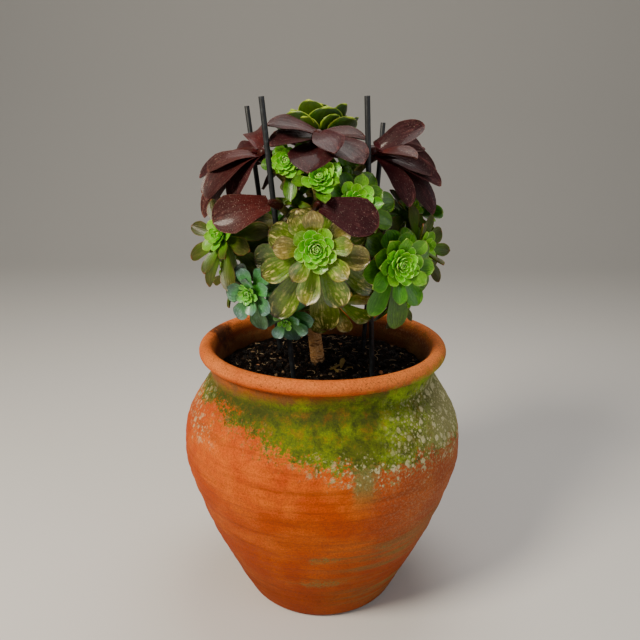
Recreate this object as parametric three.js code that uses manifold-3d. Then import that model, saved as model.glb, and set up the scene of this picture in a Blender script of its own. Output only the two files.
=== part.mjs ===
// A tree aeonium in a wheel-thrown terracotta jar: a dome of leaf rosettes on one short branched stem,
// steadied by four thin canes pushed into the potting mix.
// Millimetres, +Z up. The origin is the centre of the jar's foot, and -Y is the front.

import * as THREE from "three";
import { mergeVertices } from "three/addons/utils/BufferGeometryUtils.js";
import Module from "manifold-3d";

const wasm = await Module();
wasm.setup();

const UP = new THREE.Vector3(0, 0, 1);
const RAD = Math.PI / 180;
const GOLDEN_ANGLE = 137.508;
const mix = THREE.MathUtils.lerp;
const SEAT_GAP = 0.3;

// Driving dimensions

const SIDES = 32; // flats round the jar
const FLAT = Math.cos(Math.PI / SIDES); // from the jar's corners in to its flats
const FOOT = { radius: 77, chamfer: 3 };
const BELLY = [
  [83.5, 9],
  [98, 40],
  [120.5, 90],
  [139.5, 148],
  [142.5, 173],
  [138.5, 201],
  [121.5, 231],
];
const NECK = { radius: 113.5, inner: 105.8, foot: 243, top: 258, flare: 3 };
const LIP = { radius: 7.3, centre: 117.7, height: 269.7, from: -1.75, to: 2.95, steps: 4 };
const WALL = 8;
const FLOOR = 13;
const INNER_HEIGHTS = [FLOOR, 70, 170, 225];
const DRAIN_HOLE = 11;
const SOIL = { height: 249, sides: 24, rings: 3 };
const SOIL_TOP = { lump: 1.6, wave: [0.13, 0.17], ripple: [0.31, -0.27], dome: 0.0003 };

const CANE = { radius: 2.5, sides: 8, foot: 150 };
const CANES = [
  { name: "cane_front_left", soil: [-28, -42], tip: [-53, -58, 509] },
  { name: "cane_front_right", soil: [49, -36], tip: [36, -58, 510] },
  { name: "cane_back_left", soil: [-46, 38], tip: [-77, 47, 503] },
  { name: "cane_back_right", soil: [44, 42], tip: [59, 47, 488] },
];

const TRUNK = { radius: 8.6, topRadius: 5.5, sides: 8, steps: 7, root: 205 };
const TRUNK_LINE = [
  [-3, 7, TRUNK.root],
  [-5, 6, 249],
  [-9, 2, 290],
  [-4, 2, 350],
  [0, 0, 420],
];
const BRANCH = { radius: 4.4, sides: 4, steps: 2, rise: 0.18, spring: 0.3, arrive: 0.34 };
const BOWS = [0, 16, -16, 32, -32, 48, -48, 64, -64]; // how far a branch's middle may swing out sideways

// Leaf habits. tilt is the angle in degrees of the oldest and the youngest leaf above the plane across the
// head's axis, curl is how far they bend from root to tip, down when negative, and hang lengthens the old
// leaves on the lower side. width and waist are half breadths, as shares of the leaf's length and of its
// breadth, and a higher blunt makes a rounder tip.
const HABITS = {
  bronze: {
    color: 0x8a8f45, tilt: [-18, 24], curl: [-20, 12], hang: 0.6,
    width: 0.31, waist: 0.19, blunt: 6.5, thick: 2.8,
  },
  green: {
    color: 0x5f9a2a, tilt: [-20, 26], curl: [-12, 16], hang: 0.5,
    width: 0.3, waist: 0.2, blunt: 6, thick: 2.6,
  },
  mint: {
    color: 0x6fae86, tilt: [-18, 26], curl: [-8, 14], hang: 0.3,
    width: 0.38, waist: 0.2, blunt: 6, thick: 2.4,
  },
  olive: {
    color: 0x55682c, tilt: [-34, 24], curl: [-26, 10], hang: 0.25,
    width: 0.24, waist: 0.24, blunt: 4.2, thick: 2.4,
  },
  cup: {
    color: 0x4c6a1e, tilt: [0, 50], curl: [54, 36], hang: 0,
    width: 0.42, waist: 0.3, blunt: 6, thick: 2.2,
  },
  purple: {
    color: 0x4a2a30, tilt: [-10, 40], curl: [-30, 0], hang: 0,
    width: 0.27, waist: 0.34, blunt: 3.6, thick: 2.8,
  },
};

// The heads, front ones first, because a later head gives way to an earlier one. at is where a head's
// youngest leaves meet, faces is the azimuth (0 to the front, 90 to the right) and elevation of its axis,
// leaf is the length of its longest leaf, leaves and heart are how many old and young leaves it has, bud is
// how large its heart is, and fork is the height where its branch leaves the stem. Big single leaves are
// placed by their tips, and broad widens them: a fourth number with a tip is that leaf's own.
const HEADS = [
  {
    name: "leaf_left", habit: "purple", at: [-46, -82, 424], faces: [-25, 15], fork: 352, leaf: 48, core: 0.5,
    broad: 1.45, tips: [[-92, -84, 407]],
  },
  {
    name: "leaf_right", habit: "purple", at: [-4, -88, 424], faces: [4, 20], fork: 358, leaf: 48, core: 0.5,
    broad: 1.4, tips: [[44, -92, 406]],
  },
  {
    name: "rosette_front", habit: "bronze", at: [-6, -94, 386], faces: [0, 6], fork: 325,
    leaf: 54, leaves: 22, heart: 9, bud: 1.1,
  },
  {
    name: "rosette_front_right", habit: "green", at: [68, -74, 369], faces: [24, 4], fork: 318,
    leaf: 44, leaves: 20, heart: 9, bud: 1.3,
  },
  {
    name: "crown_skirt", habit: "purple", at: [-5, -42, 481], faces: [-6, 66], fork: 412, leaf: 44,
    broad: 1.35, tips: [
      [-13, -79, 449, 1.8], [38, -70, 459], [-47, -54, 472, 1.5], [36, -28, 474], [-48, -44, 486], [8, -80, 465],
    ],
  },
  {
    name: "rosette_left", habit: "olive", at: [-92, -57, 391], faces: [-40, 22], fork: 330,
    leaf: 54, leaves: 20, heart: 5,
  },
  {
    name: "rosette_upper_right", habit: "green", at: [28, -74, 423], faces: [18, 18], fork: 372,
    leaf: 38, leaves: 14, heart: 7, bud: 1.4,
  },
  {
    name: "rosette_upper", habit: "green", at: [-4, -76, 444], faces: [6, 30], fork: 385,
    leaf: 27, leaves: 8, heart: 10, rings: 3, bud: 2,
  },
  {
    name: "rosette_upper_left", habit: "green", at: [-32, -54, 456], faces: [-14, 14], fork: 390,
    leaf: 27, leaves: 8, heart: 9, rings: 3, bud: 1.8,
  },
  {
    name: "rosette_low_left", habit: "mint", at: [-66, -80, 343], faces: [-26, -4], fork: 300,
    leaf: 31, leaves: 12, heart: 5, rings: 3,
  },
  {
    name: "rosette_low_front", habit: "bronze", at: [12, -66, 328], faces: [8, -30], fork: 290,
    leaf: 42, leaves: 13, heart: 0, rings: 3,
  },
  {
    name: "rosette_low_front_left", habit: "mint", at: [-34, -74, 317], faces: [-12, -18], fork: 286,
    leaf: 28, leaves: 9, heart: 3, rings: 3,
  },
  {
    name: "crown_cup", habit: "cup", at: [-5, 9, 478], faces: [178, 82], fork: 415,
    leaf: 50, leaves: 17, heart: 4, rings: 3,
  },
  {
    name: "purple_left", habit: "purple", at: [-58, -14, 464], faces: [-34, 48], fork: 395, leaf: 60,
    broad: 0.82, curl: [-62, -62],
    tips: [
      [-116, -5, 438], [-103, -32, 446], [-110, -26, 424], [-112, -14, 402], [-100, -42, 414],
      [-80, -48, 420], [-106, 24, 430], [-90, 32, 450], [-66, 30, 478],
    ],
  },
  {
    name: "purple_right", habit: "purple", at: [46, -22, 466], faces: [34, 46], fork: 398, leaf: 60,
    broad: 0.88, curl: [-40, -40],
    tips: [
      [90, -15, 486], [80, -50, 460], [97, -34, 450], [106, -26, 434], [102, -20, 408], [76, -48, 418],
      [106, 6, 446], [94, 22, 466], [70, 42, 456],
    ],
  },
  {
    name: "rosette_right", habit: "olive", at: [94, -28, 376], faces: [50, 8], fork: 322, tilt: [-12, 30],
    leaf: 50, leaves: 16, heart: 5,
  },
  {
    name: "rosette_right_upper", habit: "olive", at: [84, -22, 410], faces: [60, 30], fork: 360,
    leaf: 38, leaves: 12, heart: 4, rings: 3,
  },
  {
    name: "rosette_low_right", habit: "olive", at: [76, -48, 328], faces: [50, -10], fork: 296,
    leaf: 34, leaves: 11, heart: 4, rings: 3,
  },
  {
    name: "rosette_low_left_side", habit: "olive", at: [-92, -26, 348], faces: [-70, -4], fork: 304,
    leaf: 42, leaves: 13, heart: 4, rings: 3,
  },
  {
    name: "rosette_left_back", habit: "bronze", at: [-98, 22, 392], faces: [-104, 16], fork: 345,
    leaf: 46, leaves: 12, heart: 5, rings: 3,
  },
  {
    name: "rosette_back_left", habit: "green", at: [-62, 76, 376], faces: [-142, 8], fork: 320,
    leaf: 46, leaves: 12, heart: 6, rings: 3,
  },
  {
    name: "rosette_back", habit: "bronze", at: [10, 94, 384], faces: [176, 10], fork: 328,
    leaf: 50, leaves: 13, heart: 5, rings: 3,
  },
  {
    name: "rosette_back_right", habit: "olive", at: [84, 54, 372], faces: [122, 8], fork: 334,
    leaf: 46, leaves: 12, heart: 5, rings: 3,
  },
  {
    name: "rosette_right_back", habit: "green", at: [98, 22, 404], faces: [94, 24], fork: 350,
    leaf: 36, leaves: 11, heart: 5, rings: 3,
  },
  {
    name: "rosette_back_upper", habit: "green", at: [22, 70, 440], faces: [164, 28], fork: 380,
    leaf: 36, leaves: 12, heart: 5, rings: 3,
  },
  {
    name: "purple_back", habit: "purple", at: [-24, 50, 466], faces: [-158, 56], fork: 402,
    leaf: 58, leaves: 9, heart: 0, tilt: [-22, 18],
  },
  {
    name: "rosette_low_back_left", habit: "mint", at: [-34, 82, 334], faces: [-158, -8], fork: 302,
    leaf: 32, leaves: 10, heart: 3, rings: 3,
  },
  {
    name: "rosette_low_back_right", habit: "olive", at: [46, 76, 330], faces: [148, -8], fork: 298,
    leaf: 36, leaves: 10, heart: 3, rings: 3,
  },
  {
    name: "rosette_inner_right", habit: "olive", at: [20, -56, 448], faces: [14, 16], fork: 392,
    leaf: 30, leaves: 8, heart: 0, rings: 3,
  },
  {
    name: "rosette_inner_left", habit: "olive", at: [-27, -56, 424], faces: [-14, 10], fork: 376,
    leaf: 32, leaves: 8, heart: 0, rings: 3,
  },
];
const HEAD_CORE = { base: 4.4, waist: 8, length: 18, crown: 2, sides: 6 };
const OLD_LEAVES = { shrink: 0.42, ease: 1.3, thin: 0.8, from: 0.72, to: 0.12 };
const HEART = { length: 0.4, shrink: 0.62, tilt: [22, 74], width: 0.42, thick: 0.7, curl: 42, depth: 1.5 };
const LEAF_FORM = { sections: 4, top: 0.35, keel: 0.75, cup: 0.2, sunk: 1.5, spread: 0.8 };
const FLARE = [1.08, 1.25]; // how fast a leaf widens from its waist, and the power it does so by
const THICKNESS = [0.55, 1.4, -1.25]; // at a leaf's root, and how it swells and thins further on
const JITTER = { turn: 4, tilt: 2.5, length: 0.08 };
const SEED = { first: 1000, step: 77 };

// A leaf that meets a neighbour is lifted, lowered, turned and at last shortened until it is clear.
const LEAF_GAP = 0.5; // kept all round a leaf
const OWN_CLEARANCE = 2.5; // leaves of one head may meet this far round its core
const PLACED_MOVES = 5; // tries that a leaf placed by its tip makes to clear its own head's leaves
const GIVE_WAY_SIZES = [1, 0.86, 0.72, 0.58];
const GIVE_WAY_MOVES = [
  [0, 0], [8, 0], [-8, 0], [0, 9], [0, -9], [16, 0], [-16, 0], [8, 9], [8, -9],
  [24, 0], [-24, 0], [0, 18], [0, -18], [34, 0], [-34, 0], [46, 0],
];
const GIVE_WAYS = GIVE_WAY_SIZES.flatMap((size) => GIVE_WAY_MOVES.map((move) => ({ size, move })));

// Plain tools

// The same sequence of numbers from 0 to 1 for the same seed.
function seededNumbers(seed) {
  let state = seed % 4294967296;
  return () => {
    state = (state * 1664525 + 1013904223) % 4294967296;
    return state / 4294967296;
  };
}

// The positions and faces of a geometry, with its shared vertices merged.
function mergedShape(geometry) {
  const bare = geometry.clone();
  bare.deleteAttribute("normal");
  bare.deleteAttribute("uv");
  const merged = mergeVertices(bare, 1e-4);
  return {
    points: Array.from({ length: merged.attributes.position.count }, (_, i) =>
      new THREE.Vector3().fromBufferAttribute(merged.attributes.position, i),
    ),
    faces: new Uint32Array(merged.index.array),
  };
}

function solidFrom(points, faces) {
  const vertProperties = new Float32Array(points.flatMap((p) => [p.x, p.y, p.z]));
  return new wasm.Manifold(new wasm.Mesh({ numProp: 3, vertProperties, triVerts: faces }));
}

function solidOf(geometry) {
  const shape = mergedShape(geometry);
  return solidFrom(shape.points, shape.faces);
}

// Keeps the largest body: loose scraps go, and sealed hollows are filled.
function largestBody(solid) {
  return solid.decompose().reduce((best, body) => (body.volume() > best.volume() ? body : best));
}

function geometryOf(solid) {
  const mesh = solid.getMesh();
  const geometry = new THREE.BufferGeometry();
  geometry.setAttribute("position", new THREE.BufferAttribute(mesh.vertProperties, 3));
  geometry.setIndex(new THREE.BufferAttribute(mesh.triVerts, 1));
  geometry.computeVertexNormals();
  return geometry;
}

function boxesMeet(a, b) {
  return [0, 1, 2].every((k) => a.min[k] <= b.max[k] && b.min[k] <= a.max[k]);
}

function meetsAny(solid, obstacles) {
  const box = solid.boundingBox();
  return obstacles.some((o) => boxesMeet(box, o.box) && !solid.intersect(o.solid).isEmpty());
}

function obstacle(solid) {
  return { solid, box: solid.boundingBox() };
}

// A round rod of tapering radius that follows a curve, with flat ends square to it.
function rodAlong(curve, radiusAt, sides, steps) {
  const shape = mergedShape(new THREE.CylinderGeometry(1, 1, 1, sides, steps));
  const startAxis = curve.getTangent(0);
  const points = shape.points.map((p) => {
    const t = p.y + 0.5;
    const turn = new THREE.Quaternion().setFromUnitVectors(new THREE.Vector3(0, 1, 0), startAxis);
    turn.premultiply(new THREE.Quaternion().setFromUnitVectors(startAxis, curve.getTangent(t)));
    const across = new THREE.Vector3(p.x, 0, p.z).multiplyScalar(radiusAt(t));
    return across.applyQuaternion(turn).add(curve.getPoint(t));
  });
  return solidFrom(points, shape.faces);
}

// Jar

function jarOutline() {
  const lipRing = new THREE.Path().absarc(LIP.centre, LIP.height, LIP.radius, LIP.from, LIP.to);
  const body = new THREE.SplineCurve([
    new THREE.Vector2(FOOT.radius + FOOT.chamfer, FOOT.chamfer),
    ...BELLY.map(([r, z]) => new THREE.Vector2(r, z)),
    new THREE.Vector2(NECK.radius, NECK.foot),
  ]);
  return [
    new THREE.Vector2(DRAIN_HOLE, 0),
    new THREE.Vector2(FOOT.radius, 0),
    ...body.getPoints(9),
    new THREE.Vector2(NECK.radius + NECK.flare, NECK.top),
    ...lipRing.getPoints(LIP.steps),
  ];
}

// The inner wall's radius at a height inside the jar.
function wallRadius(z) {
  const outer = new THREE.SplineCurve(BELLY.map(([r, h]) => new THREE.Vector2(r, h)));
  const points = outer.getPoints(60);
  const nearest = points.reduce((best, p) => (Math.abs(p.y - z) < Math.abs(best.y - z) ? p : best));
  return nearest.x - WALL;
}

function makeJar() {
  const inner = INNER_HEIGHTS.map((z) => new THREE.Vector2(wallRadius(z), z)).reverse();
  const profile = [
    ...jarOutline(),
    new THREE.Vector2(NECK.inner, NECK.top),
    new THREE.Vector2(NECK.inner, NECK.foot),
    ...inner,
    new THREE.Vector2(DRAIN_HOLE, FLOOR),
    new THREE.Vector2(DRAIN_HOLE, 0),
  ];
  return largestBody(solidOf(new THREE.LatheGeometry(profile, SIDES).rotateX(Math.PI / 2)));
}

// Soil

function soilHeight(x, y) {
  const { lump, wave, ripple, dome } = SOIL_TOP;
  const lumps = Math.sin(x * wave[0]) * Math.cos(y * wave[1]) + Math.sin(x * ripple[0] + y * ripple[1]) / 2;
  return SOIL.height + lump * lumps - dome * (x * x + y * y);
}

function makeSoil(holes) {
  const roomAt = (z) => wallRadius(z) * FLAT - SEAT_GAP;
  const rim = NECK.inner * FLAT - SEAT_GAP;
  const rings = Array.from({ length: SOIL.rings }, (_, k) => (rim * (SOIL.rings - 1 - k)) / SOIL.rings);
  const profile = [
    new THREE.Vector2(0, FLOOR + SEAT_GAP),
    new THREE.Vector2(roomAt(FLOOR), FLOOR + SEAT_GAP),
    ...INNER_HEIGHTS.slice(1).map((z) => new THREE.Vector2(roomAt(z), z)),
    new THREE.Vector2(rim, NECK.foot),
    new THREE.Vector2(rim, SOIL.height),
    ...rings.map((radius) => new THREE.Vector2(radius, SOIL.height)),
  ];
  const shape = mergedShape(new THREE.LatheGeometry(profile, SOIL.sides).rotateX(Math.PI / 2));
  const top = shape.points.filter((p) => p.z > SOIL.height - 1);
  for (const p of top) p.z = soilHeight(p.x, p.y);
  return largestBody(holes.reduce((soil, hole) => soil.subtract(hole), solidFrom(shape.points, shape.faces)));
}

// Canes

function caneSolid(cane, extra) {
  const tip = new THREE.Vector3(...cane.tip);
  const soil = new THREE.Vector3(...cane.soil, SOIL.height);
  const axis = tip.clone().sub(soil).normalize();
  const foot = soil.clone().addScaledVector(axis, -(SOIL.height - CANE.foot) / axis.z - extra);
  const line = new THREE.LineCurve3(foot, tip.addScaledVector(axis, extra));
  return rodAlong(line, () => CANE.radius + extra, CANE.sides, 1);
}

// Stem and branches

const trunkLine = new THREE.CatmullRomCurve3(TRUNK_LINE.map((p) => new THREE.Vector3(...p)));

function trunkSolid(extra) {
  const radiusAt = (t) => mix(TRUNK.radius, TRUNK.topRadius, t) + extra;
  return rodAlong(trunkLine, radiusAt, TRUNK.sides, TRUNK.steps);
}

function trunkPointAt(height) {
  const points = trunkLine.getPoints(80);
  return points.reduce((best, p) => (Math.abs(p.z - height) < Math.abs(best.z - height) ? p : best));
}

// A branch leaves the stem rising and comes square to its head's base; bow moves its middle sideways.
function branchSolid(head, bow, extra) {
  const seat = head.seat.clone().addScaledVector(head.axis, -SEAT_GAP);
  const start = trunkPointAt(head.fork);
  const reach = seat.distanceTo(start);
  const side = new THREE.Vector3().crossVectors(UP, seat.clone().sub(start)).setLength(bow);
  const leave = start.clone().addScaledVector(UP, reach * BRANCH.rise).lerp(seat, BRANCH.spring).add(side);
  const arrive = seat.clone().addScaledVector(head.axis, -reach * BRANCH.arrive);
  const line = new THREE.CubicBezierCurve3(start, leave, arrive, seat);
  const radiusAt = (t) => mix(BRANCH.radius, HEAD_CORE.base, t) + extra;
  return rodAlong(line, radiusAt, BRANCH.sides, BRANCH.steps);
}

// The least bow that takes a head's branch clear of its own core, the canes and the other heads' cores.
function bowOf(head, inTheWay) {
  const core = obstacle(headCore(head));
  const isClear = (bow) =>
    !meetsAny(branchSolid(head, bow, 0), [core]) && !meetsAny(branchSolid(head, bow, LEAF_GAP), inTheWay);
  const clear = BOWS.find(isClear);
  if (clear === undefined) throw new Error(`the branch of ${head.name} finds no way`);
  return clear;
}

function makeStem() {
  const branches = heads.map((head) => branchSolid(head, head.bow, 0));
  return largestBody(branches.reduce((stem, branch) => stem.add(branch), trunkSolid(0)));
}

// Heads

// Works out a head's own axes from its row in the list.
function placeHead(row, index) {
  const [azimuth, elevation] = row.faces.map((a) => a * RAD);
  const axis = new THREE.Vector3(
    Math.sin(azimuth) * Math.cos(elevation),
    -Math.cos(azimuth) * Math.cos(elevation),
    Math.sin(elevation),
  );
  const across = new THREE.Vector3().crossVectors(UP, axis).normalize();
  const apex = new THREE.Vector3(...row.at);
  return {
    leaves: 0,
    heart: 0,
    rings: LEAF_FORM.sections,
    tips: [],
    core: 1,
    broad: 1,
    bud: 1,
    ...HABITS[row.habit],
    ...row,
    axis,
    across,
    rise: new THREE.Vector3().crossVectors(axis, across),
    apex,
    seat: apex.clone().addScaledVector(axis, -HEAD_CORE.length),
    random: seededNumbers(SEED.first + index * SEED.step),
  };
}

const heads = HEADS.map(placeHead);

function headCore(head, extra = 0) {
  const { length, sides } = HEAD_CORE;
  const base = HEAD_CORE.base + extra;
  const waist = HEAD_CORE.waist * head.core + extra;
  const profile = [
    new THREE.Vector2(0, -length),
    new THREE.Vector2(base, -length),
    new THREE.Vector2(waist, -length * 0.45),
    new THREE.Vector2(waist * 0.6, -1),
    new THREE.Vector2(0, HEAD_CORE.crown + 2 * extra),
  ];
  const geometry = new THREE.LatheGeometry(profile, sides).rotateX(Math.PI / 2);
  geometry.applyQuaternion(new THREE.Quaternion().setFromUnitVectors(UP, head.axis));
  geometry.translate(head.apex.x, head.apex.y, head.apex.z);
  return solidOf(geometry);
}

// Old leaf i of a head, counting from the oldest: where it springs from, and its angles and sizes.
function oldLeaf(head, i) {
  const age = i / Math.max(1, head.leaves - 1);
  const turnJitter = (head.random() - 0.5) * 2 * JITTER.turn;
  const tiltJitter = (head.random() - 0.5) * 2 * JITTER.tilt;
  const lengthJitter = 1 + (head.random() - 0.5) * 2 * JITTER.length;
  const turn = (i * GOLDEN_ANGLE + turnJitter) * RAD;
  const below = -(Math.cos(turn) * head.across.z + Math.sin(turn) * head.rise.z) * (1 - age);
  const size = 1 - OLD_LEAVES.shrink * age ** OLD_LEAVES.ease;
  return {
    turn,
    tilt: (mix(...head.tilt, age) + tiltJitter) * RAD,
    along: -HEAD_CORE.length * mix(OLD_LEAVES.from, OLD_LEAVES.to, age),
    length: head.leaf * size * lengthJitter * (1 + head.hang * Math.max(-0.4, below)),
    width: head.leaf * head.width * size,
    thick: head.thick * mix(1, OLD_LEAVES.thin, age),
    curl: mix(...head.curl, age) * RAD,
    ball: balls[head.rings - 2],
  };
}

// Young leaf i of a head's heart: short, and folded in round the growing point.
function heartLeaf(head, i) {
  const age = i / Math.max(1, head.heart - 1);
  const length = head.leaf * head.bud * HEART.length * (1 - HEART.shrink * age);
  return {
    turn: (head.leaves + i) * GOLDEN_ANGLE * RAD,
    tilt: mix(...HEART.tilt, age) * RAD,
    along: -HEART.depth * (1 - age),
    length,
    width: length * HEART.width,
    thick: head.thick * HEART.thick,
    curl: HEART.curl * RAD,
    ball: balls[0],
  };
}

// A leaf of a head whose tip is given: its arc is worked out from the chord to that tip.
function leafToTip(head, tip, k) {
  const along = -HEAD_CORE.length * OLD_LEAVES.from * (1 - (k + 0.7) / head.tips.length);
  const chord = new THREE.Vector3(...tip.slice(0, 3)).sub(head.apex).addScaledVector(head.axis, -along);
  const bend = head.curl[0] * RAD;
  const height = chord.dot(head.axis);
  const turn = Math.atan2(chord.dot(head.rise), chord.dot(head.across));
  const length = (chord.length() * bend) / 2 / Math.sin(bend / 2);
  return {
    turn,
    tilt: Math.asin(height / chord.length()) - bend / 2,
    along,
    length,
    width: Math.max(length, head.leaf) * head.width * (tip[3] ?? head.broad),
    thick: head.thick,
    curl: bend,
    ball: balls[head.rings - 2],
  };
}

// Half the leaf's breadth at t, 0 at the root and 1 at the tip: a narrow stalk that widens to a spoon.
function breadthAt(head, t) {
  const [flare, ease] = FLARE;
  return Math.min(1, head.waist + flare * t ** ease) * Math.sqrt(Math.max(0, 1 - t ** head.blunt));
}

// Moves the points of a unit ball onto the leaf. The ball's poles, along its Y, become the root and the tip.
function leafPoints(head, leaf, give, extra) {
  const [lift, swing] = give.move;
  const turn = leaf.turn + swing * RAD;
  const tilt = leaf.tilt + lift * RAD;
  const outward = head.across.clone().applyAxisAngle(head.axis, turn);
  const side = head.axis.clone().cross(outward);
  const root = head.apex.clone().addScaledVector(head.axis, leaf.along);
  root.addScaledVector(outward, LEAF_FORM.sunk);
  const length = leaf.length * give.size + extra;
  const bend = leaf.curl || 1e-3;
  return leaf.ball.points.map((p) => {
    const t = ((1 + p.y) / 2) ** LEAF_FORM.spread;
    const ring = Math.sqrt(Math.max(0, 1 - p.y * p.y));
    const angle = tilt + bend * t;
    const out = ((Math.sin(angle) - Math.sin(tilt)) / bend) * length;
    const up = ((Math.cos(tilt) - Math.cos(angle)) / bend) * length;
    const breadth = ring < 1e-3 ? 0 : (leaf.width * give.size * breadthAt(head, t) + extra) / ring;
    const swell = THICKNESS[0] + THICKNESS[1] * t + THICKNESS[2] * t * t;
    const depth = ring < 1e-3 ? 0 : (leaf.thick * swell + extra) / ring;
    const cup = LEAF_FORM.cup * Math.abs(p.x * breadth);
    const lifted = p.z * depth + cup;
    return root
      .clone()
      .addScaledVector(outward, out - lifted * Math.sin(angle))
      .addScaledVector(head.axis, up + lifted * Math.cos(angle))
      .addScaledVector(side, -p.x * breadth);
  });
}

// A ball of three-sided rings: flat on top, with the two edges of the leaf and a keel underneath.
function threeSidedBall(rings) {
  const shape = mergedShape(new THREE.SphereGeometry(1, 3, rings).rotateY(-Math.PI / 2));
  for (const p of shape.points) {
    p.x /= Math.cos(Math.PI / 6);
    p.z *= p.z > 0 ? LEAF_FORM.top / Math.sin(Math.PI / 6) : LEAF_FORM.keel;
  }
  return shape;
}

const balls = [2, 3, 4].map(threeSidedBall);

// Builds a head leaf by leaf. A leaf gives way to all that belongs to other nodes, or is left out, and to the
// leaves before it in its own head where a move alone can clear them.
function makeHead(head, obstacles) {
  const bud = headCore(head, OWN_CLEARANCE);
  const placed = head.tips.map((tip, k) => leafToTip(head, tip, k));
  const old = Array.from({ length: head.leaves }, (_, i) => oldLeaf(head, i));
  const young = Array.from({ length: head.heart }, (_, i) => heartLeaf(head, i));
  let solid = headCore(head);
  const own = [];
  const taken = [];
  for (const leaf of [...placed, ...old, ...young]) {
    let chosen;
    for (const [k, give] of GIVE_WAYS.entries()) {
      if (chosen && (give.size < 1 || (placed.includes(leaf) && k >= PLACED_MOVES))) break;
      const room = solidFrom(leafPoints(head, leaf, give, LEAF_GAP), leaf.ball.faces);
      if (meetsAny(room, obstacles)) continue;
      const blade = solidFrom(leafPoints(head, leaf, give, 0), leaf.ball.faces);
      const outer = obstacle(blade.subtract(bud));
      const clear = young.includes(leaf) || !meetsAny(outer.solid, own);
      if (chosen && !clear) continue;
      chosen = { blade, room, outer };
      if (clear) break;
    }
    if (!chosen) continue;
    solid = solid.add(chosen.blade);
    own.push(chosen.outer);
    taken.push(obstacle(chosen.room));
  }
  head.kept = taken.length;
  return { solid: largestBody(solid), taken };
}

// Assembly

const plant = new THREE.Group();

function addMesh(name, geometry, color, roughness) {
  const material = new THREE.MeshStandardMaterial({ color, roughness, metalness: 0 });
  const mesh = new THREE.Mesh(geometry, material);
  mesh.name = name;
  plant.add(mesh);
  return mesh;
}

const canes = CANES.map((cane) => obstacle(caneSolid(cane, LEAF_GAP)));
const cores = heads.map((head) => ({ ...obstacle(headCore(head)), owner: head.name }));
for (const head of heads) {
  const inTheWay = [...canes, ...cores.filter((core) => core.owner !== head.name)];
  if (meetsAny(headCore(head), inTheWay)) throw new Error(`${head.name} stands in something`);
  head.bow = bowOf(head, inTheWay);
}

const holes = [trunkSolid(SEAT_GAP), trunkSolid(SEAT_GAP).translate(0, 0, -SEAT_GAP)];
const jar = makeJar();
const soil = makeSoil([...holes, ...CANES.map((cane) => caneSolid(cane, SEAT_GAP))]);
addMesh("terracotta_jar", geometryOf(jar), 0xc8683c, 0.85);
addMesh("potting_mix", geometryOf(soil), 0x2a1c14, 1);
addMesh("stem", geometryOf(makeStem()), 0x8f6f48, 0.9);
for (const cane of CANES) addMesh(cane.name, geometryOf(caneSolid(cane, 0)), 0x2b2f31, 0.55);

const branches = heads.map((head) => obstacle(branchSolid(head, head.bow, 0)));
const obstacles = [obstacle(jar), obstacle(soil), obstacle(trunkSolid(0)), ...canes, ...cores, ...branches];

for (const head of heads) {
  const others = obstacles.filter((o) => o.owner !== head.name);
  const { solid, taken } = makeHead(head, others);
  obstacles.push(...taken.map((t) => ({ ...t, owner: head.name })));
  const place = new THREE.Matrix4().compose(
    head.apex,
    new THREE.Quaternion().setFromUnitVectors(UP, head.axis),
    new THREE.Vector3(1, 1, 1),
  );
  const geometry = geometryOf(solid).applyMatrix4(place.clone().invert());
  const mesh = addMesh(head.name, geometry, head.color, 0.45);
  mesh.applyMatrix4(place);
}

export default plant;
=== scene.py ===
"""Potted aeonium: a branched plant of waxy leaf rosettes in a weathered terracotta jar.

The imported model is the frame. Every piece here is worked in millimetres in that frame and turned to
metres when it is finished. The front of the plant faces -Y.
"""

import logging
import math
import random
from dataclasses import dataclass, field, replace
from enum import Enum
from typing import Callable, Iterable, Optional, Sequence, Union

import bmesh
import bpy
from mathutils import Matrix, Quaternion, Vector, kdtree, noise
from mathutils.bvhtree import BVHTree


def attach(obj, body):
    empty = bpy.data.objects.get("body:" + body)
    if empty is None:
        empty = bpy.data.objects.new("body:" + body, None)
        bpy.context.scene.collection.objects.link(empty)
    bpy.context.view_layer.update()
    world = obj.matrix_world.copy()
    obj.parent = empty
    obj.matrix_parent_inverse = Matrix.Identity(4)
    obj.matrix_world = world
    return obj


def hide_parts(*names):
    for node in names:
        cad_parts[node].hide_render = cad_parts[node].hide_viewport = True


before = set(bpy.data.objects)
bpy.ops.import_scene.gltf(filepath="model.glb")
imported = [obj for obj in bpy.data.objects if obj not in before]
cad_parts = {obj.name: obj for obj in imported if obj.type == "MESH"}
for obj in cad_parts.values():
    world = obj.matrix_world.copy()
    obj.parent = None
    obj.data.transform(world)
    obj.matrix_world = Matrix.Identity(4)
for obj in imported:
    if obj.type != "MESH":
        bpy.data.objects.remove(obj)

LOG = logging.getLogger("potted_aeonium")
MM = 0.001
BODY = "root"
UP = Vector((0, 0, 1))
GOLDEN_ANGLE = 137.508
SOIL_LEVEL = 249
LEAF_MARKS = ("along", "across", "youth", "tone", "back")
SMOOTH = {"interpolation_type": "SMOOTHSTEP"}

Link = Union[bpy.types.Node, bpy.types.NodeSocket, float, tuple]


# Plain tools


def mix(a: float, b: float, share: float) -> float:
    """Goes from a to b as share goes from 0 to 1."""
    return a + (b - a) * share


def smooth_step(low: float, high: float, value: float) -> float:
    """Goes smoothly from 0 at low to 1 at high."""
    share = min(1.0, max(0.0, (value - low) / (high - low)))
    return share * share * (3 - 2 * share)


def linear(hex_colour: str) -> tuple:
    """Turns an sRGB hex colour into linear red, green, blue and alpha."""
    parts = [int(hex_colour[i : i + 2], 16) / 255 for i in (1, 3, 5)]
    return (*[p / 12.92 if p <= 0.04045 else ((p + 0.055) / 1.055) ** 2.4 for p in parts], 1.0)


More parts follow.
